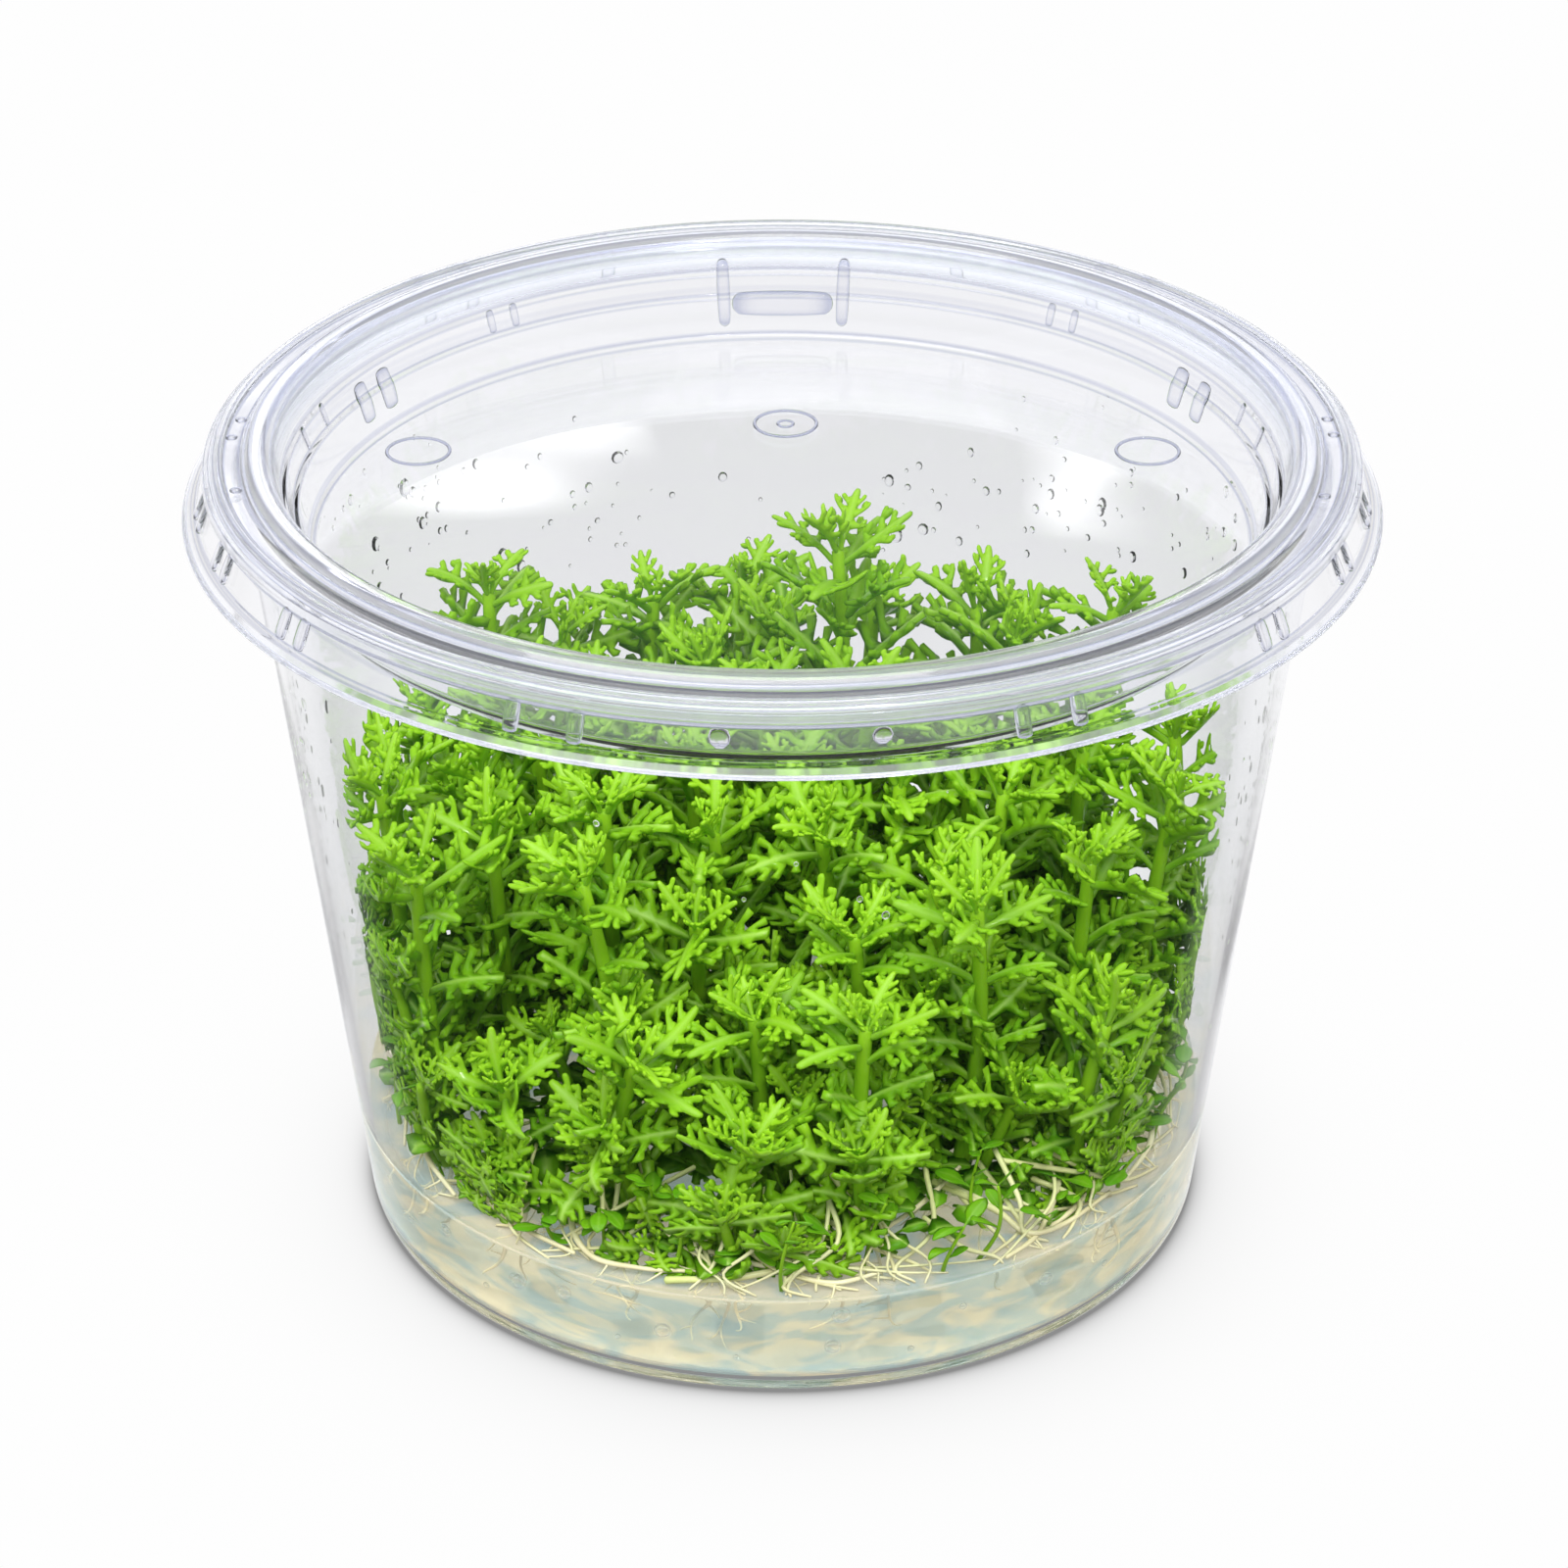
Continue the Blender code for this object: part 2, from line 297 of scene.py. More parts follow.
def mix_colour(tree, amount, a, b, blend="MIX"):
    """A colour Mix node; amount, a and b are sockets, colours or numbers."""
    made = tree.nodes.new("ShaderNodeMix")
    made.data_type = "RGBA"
    made.blend_type = blend
    made.clamp_factor = True
    for socket, value in ((made.inputs[0], amount), (made.inputs[6], a), (made.inputs[7], b)):
        if isinstance(value, (int, float)):
            socket.default_value = value
        elif isinstance(value, (tuple, list)):
            socket.default_value = (*value, 1.0) if len(value) == 3 else value
        else:
            link(tree, value, socket)
    return made.outputs[2]


def map_range(tree, value, low, high, new_low=0.0, new_high=1.0):
    """A clamped Map Range node on one socket."""
    made = tree.nodes.new("ShaderNodeMapRange")
    link(tree, value, made.inputs[0])
    for socket, number in zip(made.inputs[1:5], (low, high, new_low, new_high)):
        socket.default_value = number
    return made.outputs[0]


def attribute(tree, name):
    """The value of a piece's own attribute."""
    made = tree.nodes.new("ShaderNodeAttribute")
    made.attribute_name = name
    return made.outputs["Fac"]


def noise(tree, scale, detail=2.0, roughness=0.5, vector=None):
    """A noise value on Object coordinates, or on a given vector."""
    made = tree.nodes.new("ShaderNodeTexNoise")
    made.inputs["Scale"].default_value = scale
    made.inputs["Detail"].default_value = detail
    made.inputs["Roughness"].default_value = roughness
    if vector is None:
        vector = tree.nodes.new("ShaderNodeTexCoord").outputs["Object"]
    link(tree, vector, made.inputs["Vector"])
    return made.outputs["Fac"]


def bump(tree, height, strength, distance, shader, normal=None):
    """A Bump node from a height socket into the shader's Normal."""
    made = tree.nodes.new("ShaderNodeBump")
    made.inputs["Strength"].default_value = strength
    made.inputs["Distance"].default_value = distance
    link(tree, height, made.inputs["Height"])
    if normal is not None:
        link(tree, normal, made.inputs["Normal"])
    link(tree, made.outputs["Normal"], shader.inputs["Normal"])
    return made.outputs["Normal"]


# Shared effects as node groups

def make_group(name, inputs, outputs):
    """An empty shader node group with named sockets: (name, kind, default)."""
    tree = bpy.data.node_groups.new(name, "ShaderNodeTree")
    for title, kind, default in inputs:
        socket = tree.interface.new_socket(title, in_out="INPUT", socket_type=kind)
        if default is not None:
            socket.default_value = default
    for title, kind in outputs:
        tree.interface.new_socket(title, in_out="OUTPUT", socket_type=kind)
    return tree, tree.nodes.new("NodeGroupInput").outputs, tree.nodes.new("NodeGroupOutput").inputs


def moulding_group():
    """Moulded plastic: faint flow waves, and a fine haze of handling marks that roughens the gloss."""
    tree, given, out = make_group(
        "Moulding marks",
        [("Wave Scale", "NodeSocketFloat", 60.0), ("Haze Low", "NodeSocketFloat", 0.0),
         ("Haze High", "NodeSocketFloat", 0.08)],
        [("Height", "NodeSocketFloat"), ("Roughness", "NodeSocketFloat")])
    place = tree.nodes.new("ShaderNodeTexCoord").outputs["Object"]
    wave = tree.nodes.new("ShaderNodeTexNoise")
    wave.inputs["Detail"].default_value = 0.0
    link(tree, place, wave.inputs["Vector"])
    link(tree, given["Wave Scale"], wave.inputs["Scale"])
    link(tree, wave.outputs["Fac"], out["Height"])
    marks = map_range(tree, noise(tree, 300.0, 1.0, 0.5, place), 0.62, 0.85)
    span = math_node(tree, "SUBTRACT", given["Haze High"], given["Haze Low"])
    rough = math_node(tree, "ADD", math_node(tree, "MULTIPLY", marks, span), given["Haze Low"])
    link(tree, rough, out["Roughness"])
    return tree


def living_group():
    """Living tissue: a base colour varied by patches and by each piece's shade value, and a cell-like height. The shade
    value is random tone, and on the plantlets' leaves partly painted shade.
    """
    tree, given, out = make_group(
        "Living tissue",
        [("Base", "NodeSocketColor", (0.2, 0.5, 0.02, 1.0)), ("Deep", "NodeSocketColor", (0.05, 0.2, 0.01, 1.0)),
         ("Shade", "NodeSocketFloat", 0.5), ("Patch Scale", "NodeSocketFloat", 350.0),
         ("Cell Scale", "NodeSocketFloat", 2600.0)],
        [("Colour", "NodeSocketColor"), ("Height", "NodeSocketFloat"), ("Roughness", "NodeSocketFloat")])
    place = tree.nodes.new("ShaderNodeTexCoord").outputs["Object"]
    patches = tree.nodes.new("ShaderNodeTexNoise")
    patches.inputs["Detail"].default_value = 2.0
    link(tree, place, patches.inputs["Vector"])
    link(tree, given["Patch Scale"], patches.inputs["Scale"])
    mottle = map_range(tree, patches.outputs["Fac"], 0.35, 0.7)
    amount = math_node(tree, "MULTIPLY", math_node(tree, "ADD", mottle, given["Shade"]), 0.5, clamp=True)
    link(tree, mix_colour(tree, amount, given["Base"], given["Deep"]), out["Colour"])
    cells = tree.nodes.new("ShaderNodeTexVoronoi")
    link(tree, place, cells.inputs["Vector"])
    link(tree, given["Cell Scale"], cells.inputs["Scale"])
    link(tree, cells.outputs["Distance"], out["Height"])
    link(tree, map_range(tree, patches.outputs["Fac"], 0.3, 0.7, 0.24, 0.42), out["Roughness"])
    return tree


def group_node(tree, group, **values):
    """A shared group placed in a material with its own values, which are numbers, colours or sockets."""
    made = tree.nodes.new("ShaderNodeGroup")
    made.node_tree = group
    for title, value in values.items():
        socket = made.inputs[title.replace("_", " ")]
        if isinstance(value, (int, float)):
            socket.default_value = value
        elif isinstance(value, (tuple, list)):
            socket.default_value = (*value, 1.0)
        else:
            link(tree, value, socket)
    return made.outputs


# Materials

def see_through(piece):
    """Let soft light reach what lies inside: the piece is left out of shadow rays and diffuse rays."""
    piece.visible_shadow = False
    piece.visible_diffuse = False


# Painted shade: the lavender grey that bent light shows in the rounded edges of the plastic, painted into its colour
# there
PAINTED_EDGE_SHADE = (0.48, 0.51, 0.68)


def clear_plastic(name, tint, wave, haze, edges, ior=1.33, clearness=1.0, waviness=0.12):
    """Clear moulded plastic with a faint waviness, painted shade in its rounded edges and a haze from least to most.

    The thin walls bend light less than the thick rims, which keeps mirrored light off the leaves behind.
    """
    material, tree, shader = principled(name)
    # edges is the share of painted edge shade laid on the colour where the outline is rounded
    share = math_node(tree, "MULTIPLY", attribute(tree, "edge"), edges)
    link(tree, mix_colour(tree, share, tint, PAINTED_EDGE_SHADE), shader.inputs["Base Color"])
    shader.inputs["Transmission Weight"].default_value = clearness
    shader.inputs["IOR"].default_value = ior
    marks = group_node(tree, groups()["moulding"], Wave_Scale=wave, Haze_Low=haze[0], Haze_High=haze[1])
    link(tree, marks["Roughness"], shader.inputs["Roughness"])
    bump(tree, marks["Height"], waviness, 0.0006, shader)
    return material


def gel_material(settings):
    """Pale agar: clear and wet, with soft drawn-out clouds of cream in a cool grey that deepens with depth. The clouds
    are partly the agar's own tint and partly painted light and shade, and they glow as painted light.
    """
    material, tree, shader = principled("agar_gel")
    shader.inputs["Transmission Weight"].default_value = 0.74
    shader.inputs["IOR"].default_value = 1.34
    shader.inputs["Specular IOR Level"].default_value = 0.2
    stretch = tree.nodes.new("ShaderNodeMapping")
    stretch.inputs["Scale"].default_value = (1.0, 1.0, 2.6)
    link(tree, tree.nodes.new("ShaderNodeTexCoord").outputs["Object"], stretch.inputs["Vector"])
    cloud = tree.nodes.new("ShaderNodeTexNoise")
    cloud.inputs["Scale"].default_value = 100.0
    cloud.inputs["Detail"].default_value = 2.0
    cloud.inputs["Distortion"].default_value = 1.6
    link(tree, stretch.outputs[0], cloud.inputs["Vector"])
    # Painted light and shade: the cream and cool grey clouds stand partly for the agar's tint and partly for the bright
    # and dim patches that the gel bends and mirrors
    share = map_range(tree, cloud.outputs["Fac"], 0.42, 0.57)
    colour = mix_colour(tree, share, tuple(settings.cool_tint_and_shade), tuple(settings.cream_tint_and_light))
    link(tree, colour, shader.inputs["Base Color"])
    # Painted glow: the gel glows in its cloud colours, a stand-in for light that the milky gel scatters back
    link(tree, colour, shader.inputs["Emission Color"])
    shader.inputs["Emission Strength"].default_value = settings.milk_glow
    marks = group_node(tree, groups()["moulding"], Wave_Scale=140.0, Haze_Low=0.0, Haze_High=0.05)
    link(tree, marks["Roughness"], shader.inputs["Roughness"])
    bump(tree, marks["Height"], 0.08, 0.0008, shader)
    inside = tree.nodes.new("ShaderNodeVolumeAbsorption")
    inside.inputs["Color"].default_value = (*settings.depth_tint, 1.0)
    inside.inputs["Density"].default_value = settings.density
    link(tree, inside.outputs["Volume"], tree.nodes["Material Output"].inputs["Volume"])
    return material


def water_material(name, ior):
    """Water or the skin round an air bubble, with a hint of unevenness on it."""
    material, tree, shader = principled(name)
    shader.inputs["Base Color"].default_value = (1.0, 1.0, 1.0, 1.0)
    shader.inputs["Transmission Weight"].default_value = 1.0
    shader.inputs["IOR"].default_value = ior
    link(tree, map_range(tree, noise(tree, 300.0), 0.3, 0.7, 0.0, 0.02), shader.inputs["Roughness"])
    return material


def leaf_material(name, settings):
    """Damp fleshy leaf: mottled green, a paler glossy midrib and edge, fine cells, light shining through. The pale
    midrib is partly its own colour and partly a painted highlight.
    """
    material, tree, shader = principled(name)
    young, along, across = attribute(tree, "young"), attribute(tree, "along"), attribute(tree, "across")
    tissue = group_node(tree, groups()["living"], Base=tuple(settings.leaf_colour),
                        Deep=tuple(settings.deep_and_shaded_colour), Shade=attribute(tree, "shade"))
    fresh = mix_colour(tree, math_node(tree, "MULTIPLY", young, 0.85), tissue["Colour"],
                       tuple(settings.young_colour))
    # Partly painted highlight: the midrib is painted pale, for its own paler colour and for part of the sheen along it
    rib_and_sheen = map_range(tree, across, 0.24, 0.02, 0.0, 0.6)
    with_rib_and_sheen = mix_colour(tree, rib_and_sheen, fresh, tuple(settings.rib_and_sheen_colour))
    edge = map_range(tree, across, 0.75, 1.0, 0.0, 0.35)
    edged = mix_colour(tree, edge, with_rib_and_sheen, tuple(settings.edge_colour))
    base_pale = map_range(tree, along, 0.16, 0.0, 0.0, 0.35)
    colour = mix_colour(tree, base_pale, edged, tuple(settings.rib_and_sheen_colour))
    link(tree, colour, shader.inputs["Base Color"])
    link(tree, tissue["Roughness"], shader.inputs["Roughness"])
    shader.inputs["Specular IOR Level"].default_value = 0.1
    link(tree, map_range(tree, across, 0.45, 0.1, 0.2, 0.9), shader.inputs["Coat Weight"])
    shader.inputs["Coat Roughness"].default_value = 0.10
    height = math_node(tree, "ADD", math_node(tree, "MULTIPLY", tissue["Height"], 0.35),
                       map_range(tree, across, 0.0, 0.35, 1.0, 0.0))
    bump(tree, height, 0.45, 0.00012, shader)
    through = tree.nodes.new("ShaderNodeBsdfTranslucent")
    link(tree, mix_colour(tree, 0.5, colour, tuple(settings.glow_colour)), through.inputs["Color"])
    blend = tree.nodes.new("ShaderNodeMixShader")
    blend.inputs[0].default_value = 0.30
    link(tree, shader.outputs[0], blend.inputs[1])
    link(tree, through.outputs[0], blend.inputs[2])
    link(tree, blend.outputs[0], tree.nodes["Material Output"].inputs["Surface"])
    return material


def stem_material(name, colour, deep, young):
    """Stem, runner or root: mottled tissue, fresher where it is young, with fine lengthwise cells."""
    material, tree, shader = principled(name)
    tissue = group_node(tree, groups()["living"], Base=colour, Deep=deep, Shade=attribute(tree, "shade"),
                        Patch_Scale=500.0, Cell_Scale=3200.0)
    link(tree, mix_colour(tree, attribute(tree, "young"), tissue["Colour"], young), shader.inputs["Base Color"])
    link(tree, tissue["Roughness"], shader.inputs["Roughness"])
    shader.inputs["Specular IOR Level"].default_value = 0.2
    shader.inputs["Coat Weight"].default_value = 0.3
    shader.inputs["Coat Roughness"].default_value = 0.15
    bump(tree, tissue["Height"], 0.25, 0.00008, shader)
    return material


GROUPS = {}


def groups():
    """The shared node groups, made once."""
    if not GROUPS:
        GROUPS["moulding"] = moulding_group()
        GROUPS["living"] = living_group()
    return GROUPS


# Settings

class CupSettings(PropertyGroup):
    """Cup and lid."""
    segments: IntProperty(name="Segments", description="Facets round the cup and the lid", default=288, min=48)
    tint: FloatVectorProperty(name="Cup tint", description="Colour of the cup's clear plastic",
                              default=(0.985, 0.99, 1.0), size=3, subtype="COLOR")
    lid_tint: FloatVectorProperty(name="Lid tint", description="Colour of the lid's clear plastic",
                                  default=(0.945, 0.945, 0.962), size=3, subtype="COLOR")
    rim_tint: FloatVectorProperty(name="Rim tint", description="Colour of the thick rims",
                                  default=(0.94, 0.95, 0.99), size=3, subtype="COLOR")
    rim_clearness: FloatProperty(name="Rim clearness", description="Share of the rims' light that passes clear",
                                 default=0.87, min=0.0, max=1.0, subtype="FACTOR")
    rib_width: FloatProperty(name="Rib width", description="Width of the upright ribs on the skirt",
                             default=1.5 * MM, unit="LENGTH")
    gate_radius: FloatProperty(name="Gate radius", description="Radius of the moulded circles on the panel",
                               default=3.0 * MM, unit="LENGTH")


class GelSettings(PropertyGroup):
    """Gel, roots and bubbles."""
    # Cream and cool grey are partly the agar's tint and partly painted light and shade
    cream_tint_and_light: FloatVectorProperty(name="Cream", description="Colour of the gel's cream clouds",
                                    default=(1.0, 0.93, 0.72), size=3, subtype="COLOR")
    cool_tint_and_shade: FloatVectorProperty(name="Cool grey", description="Colour of the gel between its clouds",
                                   default=(0.64, 0.76, 0.74), size=3, subtype="COLOR")
    depth_tint: FloatVectorProperty(name="Depth tint", description="Colour that deep gel keeps",
                                    default=(0.80, 0.83, 0.62), size=3, subtype="COLOR")
    density: FloatProperty(name="Density", description="How fast the gel takes up light", default=4.0)
    # Milk glow is painted light: an emission in the gel's cloud colours
    milk_glow: FloatProperty(name="Milk", description="Light that the milky gel scatters back from inside", default=0.10)
    meniscus: FloatProperty(name="Meniscus", description="Rise of the gel's edge against the wall",
                            default=0.7 * MM, unit="LENGTH")
    roots_each: IntProperty(name="Roots", description="Roots under each outer plantlet", default=3)
    seed: IntProperty(name="Seed", description="Start of the random draws", default=5)


class PlantSettings(PropertyGroup):
    """Plantlets."""
    leaf_length: FloatProperty(name="Leaf length", description="Length of a grown leaf",
                               default=8.6 * MM, unit="LENGTH")
    node_spacing: FloatProperty(name="Node spacing", description="Stem length between whorls of leaves",
                                default=3.9 * MM, unit="LENGTH")
    stem_radius: FloatProperty(name="Stem radius", description="Radius of a stem at its foot",
                               default=0.92 * MM, unit="LENGTH")
    leaf_colour: FloatVectorProperty(name="Leaf", description="Colour of grown leaves",
                                     default=(0.25, 0.56, 0.010), size=3, subtype="COLOR")
    # The deep leaf colour serves the dark mottled patches and the painted shade of low leaves
    deep_and_shaded_colour: FloatVectorProperty(name="Deep leaf", description="Darkest patches of grown leaves",
                                     default=(0.10, 0.36, 0.008), size=3, subtype="COLOR")
    young_colour: FloatVectorProperty(name="Young leaf", description="Colour of the newest leaves",
                                      default=(0.40, 0.74, 0.025), size=3, subtype="COLOR")
    # The midrib colour is partly the rib's own paler green and partly a painted highlight
    rib_and_sheen_colour: FloatVectorProperty(name="Midrib", description="Colour of the pale midrib",
                                    default=(0.53, 0.83, 0.15), size=3, subtype="COLOR")
    edge_colour: FloatVectorProperty(name="Leaf edge", description="Colour of the thin leaf edge",
                                     default=(0.42, 0.76, 0.05), size=3, subtype="COLOR")
    glow_colour: FloatVectorProperty(name="Glow", description="Colour of light that shines through a leaf",
                                     default=(0.46, 0.88, 0.01), size=3, subtype="COLOR")
    seed: IntProperty(name="Seed", description="Start of the random draws", default=3)


class StageSettings(PropertyGroup):
    """Floor, light and camera."""
    elevation: FloatProperty(name="Elevation", description="Camera's angle above the floor",
                             default=math.radians(29.15), subtype="ANGLE")
    distance: FloatProperty(name="Distance", description="Camera's distance from its target",
                            default=0.4342, unit="LENGTH")
    target: FloatProperty(name="Target", description="Height of the point that the camera looks at",
                          default=0.0413, unit="LENGTH")
    lens: FloatProperty(name="Lens", description="Focal length in millimetres", default=104.43)
    shift: FloatProperty(name="Shift", description="Sideways shift of the frame", default=0.001)


# Cup

CUP_OUTLINE = (
    (0, 1.3, 0), (39.95, 1.3, 1.0), (47.96, 71.6, 0.5), (48.15, 74.6, 0.5), (48.5, 76.55, 0.35),
    (49.1, 77.0, 0.35), (51.1, 77.0, 0.3), (51.6, 76.6, 0.3), (51.6, 75.9, 0.25), (51.2, 75.5, 0.25),
    (49.9, 75.4, 0.4), (49.15, 74.6, 0.4), (48.93, 72.0, 0.4), (40.84, 0.75, 0.45), (40.45, 0.0, 0.35),
    (37.9, 0.0, 0.35), (37.4, 0.5, 0.3), (0, 0.5, 0),
)

LID_OUTLINE = (
    (0, 68.7, 0), (43.1, 68.7, 0.19), (43.55, 69.1, 0.19), (44.35, 72.6, 0.19), (44.85, 72.95, 0.17),
    (45.35, 74.7, 0.19), (45.85, 75.05, 0.17), (46.65, 77.95, 0.28), (47.25, 78.55, 0.28), (48.6, 78.6, 0.28),
    (49.15, 78.0, 0.19), (49.5, 77.75, 0.17), (51.0, 77.65, 0.17), (51.3, 78.0, 0.17), (51.9, 78.0, 0.17),
    (52.15, 77.5, 0.11), (52.35, 77.28, 0.1), (52.85, 77.15, 0.17), (53.0, 76.2, 0.17), (52.75, 75.85, 0.11),
    (53.70, 73.30, 0.17), (54.15, 73.05, 0.14), (54.95, 72.5, 0.17), (55.0, 72.2, 0.1), (54.35, 72.2, 0.1),
    (53.6, 72.62, 0.17), (53.12, 72.9, 0.17), (52.08, 75.6, 0.17), (52.05, 76.8, 0.17), (51.5, 77.3, 0.17),
    (50.9, 77.12, 0.17), (49.6, 77.15, 0.17), (48.7, 77.65, 0.22), (47.7, 77.6, 0.22), (47.2, 76.9, 0.22),
    (46.35, 75.0, 0.22), (45.35, 72.5, 0.22), (44.4, 68.9, 0.28), (43.6, 67.87, 0.28), (0, 67.85, 0),
)

# Pairs of upright ribs on the skirt, as angles from the front, and the upright strips on the inner wall
SKIRT_RIBS = (-81.0, -78.0, -69.5, -66.5, -53.5, -50.5, -24.9, -18.7, 21.9, 27.5, 50.5, 53.5, 66.5, 69.5,
              79.0, 82.0, 137.0, 143.0, -137.0, -143.0, 160.0, -160.0)
INNER_STRIPS = (-99.5, -106.5, 99.5, 106.5, -140.5, -144.0, 140.5, 144.0)
INNER_LOOPS = (-116.0, -121.0, 116.0, 121.0)
TAB_POSTS = (-172.4, 172.2)
GATE_PLACES = ((-34.8, 16.0), (0.3, 22.3), (34.9, 16.0))
RIM_BUMPS = ((-76.5, 50.2), (-93.9, 50.0), (-89.5, 50.4), (75.0, 50.0), (94.1, 50.4), (90.2, 50.5))


def slab_on_wall(angles, base_radius, slope, low, high, width, depth, columns=7, rows=9, corner=0.45):
    """Rounded upright slabs that stand on a turned wall, at angles from the front, as a stack of shapes.

    A slab's outer face is a grid over width and height, drawn in at its corners as a superellipse, and its
    depth follows (1 - u^4)(1 - v^4); its inner face is the same grid laid on the wall.
    """
    u = np.sin(np.linspace(-1, 1, columns) * math.pi / 2)
    v = np.sin(np.linspace(-1, 1, rows) * math.pi / 2)
    across, up = np.meshgrid(u, v, indexing="ij")
    pull = 1.0 - corner * 0.32 * (across ** 2) * (up ** 2)
    rise = ((1 - across ** 6) * (1 - up ** 6)) ** 0.5
    height = low + (high - low) * (0.5 + 0.5 * up * pull)
    sideways = 0.5 * width * across * pull
    wall = base_radius + slope * (height - low)
    outer = np.stack([sideways, wall + depth * rise, height], -1)
    inner = np.stack([sideways, wall + 0 * rise, height], -1)
    both = np.concatenate([outer.reshape(-1, 3), inner.reshape(-1, 3)])
    turn = np.radians(np.asarray(angles, float))[:, None]
    sine, cosine = np.sin(turn), np.cos(turn)
    x = both[:, 0] * cosine + both[:, 1] * sine
    y = both[:, 0] * sine - both[:, 1] * cosine
    points = np.stack([x, y, np.broadcast_to(both[:, 2], x.shape)], -1)
    index = np.arange(columns * rows).reshape(columns, rows)
    face = np.stack([index[:-1, :-1], index[1:, :-1], index[1:, 1:], index[:-1, 1:]], -1).reshape(-1, 4)
    back = face[:, ::-1] + columns * rows
    rim = np.concatenate([index[:, 0], index[-1, 1:], index[::-1, -1][1:], index[0, ::-1][1:-1]])
    ahead = np.roll(rim, -1)
    side = np.stack([ahead, rim, rim + columns * rows, ahead + columns * rows], -1)
    quads = np.concatenate([face, back, side])
    if depth < 0:
        quads = quads[:, ::-1]
    # Border is the slab's share of painted edge shade, most where its face rounds down to the wall
    border = np.tile((4 * rise * (1 - rise)).ravel(), 2)
    return (points, quads.reshape(-1), np.full(len(quads), 4)), border


def ring_bead(centre, radius, height, thickness, segments=72, sides=8):
    """A thin torus lying flat: a circle of small circles, a little flattened in height."""
    turn = np.arange(segments)[:, None] * math.tau / segments
    around = np.arange(sides)[None] * math.tau / sides
    reach = radius + thickness * np.cos(around)
    points = np.stack([centre[0] + reach * np.cos(turn), centre[1] + reach * np.sin(turn),
                       height + 0.8 * thickness * np.sin(around) + 0 * turn], -1).reshape(-1, 3)
    index = np.arange(segments * sides).reshape(segments, sides)
    right, up = np.roll(index, -1, 0), np.roll(index, -1, 1)
    corner = np.roll(right, -1, 1)
    quads = np.stack([index, right, corner, up], -1).reshape(-1)
    return points, quads, np.full(segments * sides, 4)


def edge_values(outline, segments):
    """The outline's edge value for every point of the turned surface, its share of painted edge shade."""
    return np.concatenate([outline[:1, 2], np.repeat(outline[1:-1, 2], segments), outline[-1:, 2]])


def strips_where(outline, segments, chosen):
    """For every face of a turned outline, whether the middle of its stretch of the outline is chosen."""
    middle = 0.5 * (outline[1:] + outline[:-1])
    return np.repeat(chosen(middle[:, 0], middle[:, 1]), segments)


def make_cup(settings):
    """The cup: its rounded outline turned about the axis."""
    material = clear_plastic("clear_cup", tuple(settings.tint), 45.0, (0.0, 0.03), 0.3)
    rim = clear_plastic("cup_rim", tuple(settings.rim_tint), 45.0, (0.08, 0.16), 0.5, 1.49, settings.rim_clearness, 0.0)
    outline = rounded_outline(CUP_OUTLINE)
    points, corners, sizes = turned(outline, settings.segments)
    hazy = strips_where(outline, settings.segments, lambda radius, height: height > 74.9 * MM)
    cup = new_piece("clear_cup", points, corners, sizes, material,
                    {"edge": edge_values(outline, settings.segments)}, (rim, hazy))
    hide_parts("cup")
    see_through(cup)
    return cup


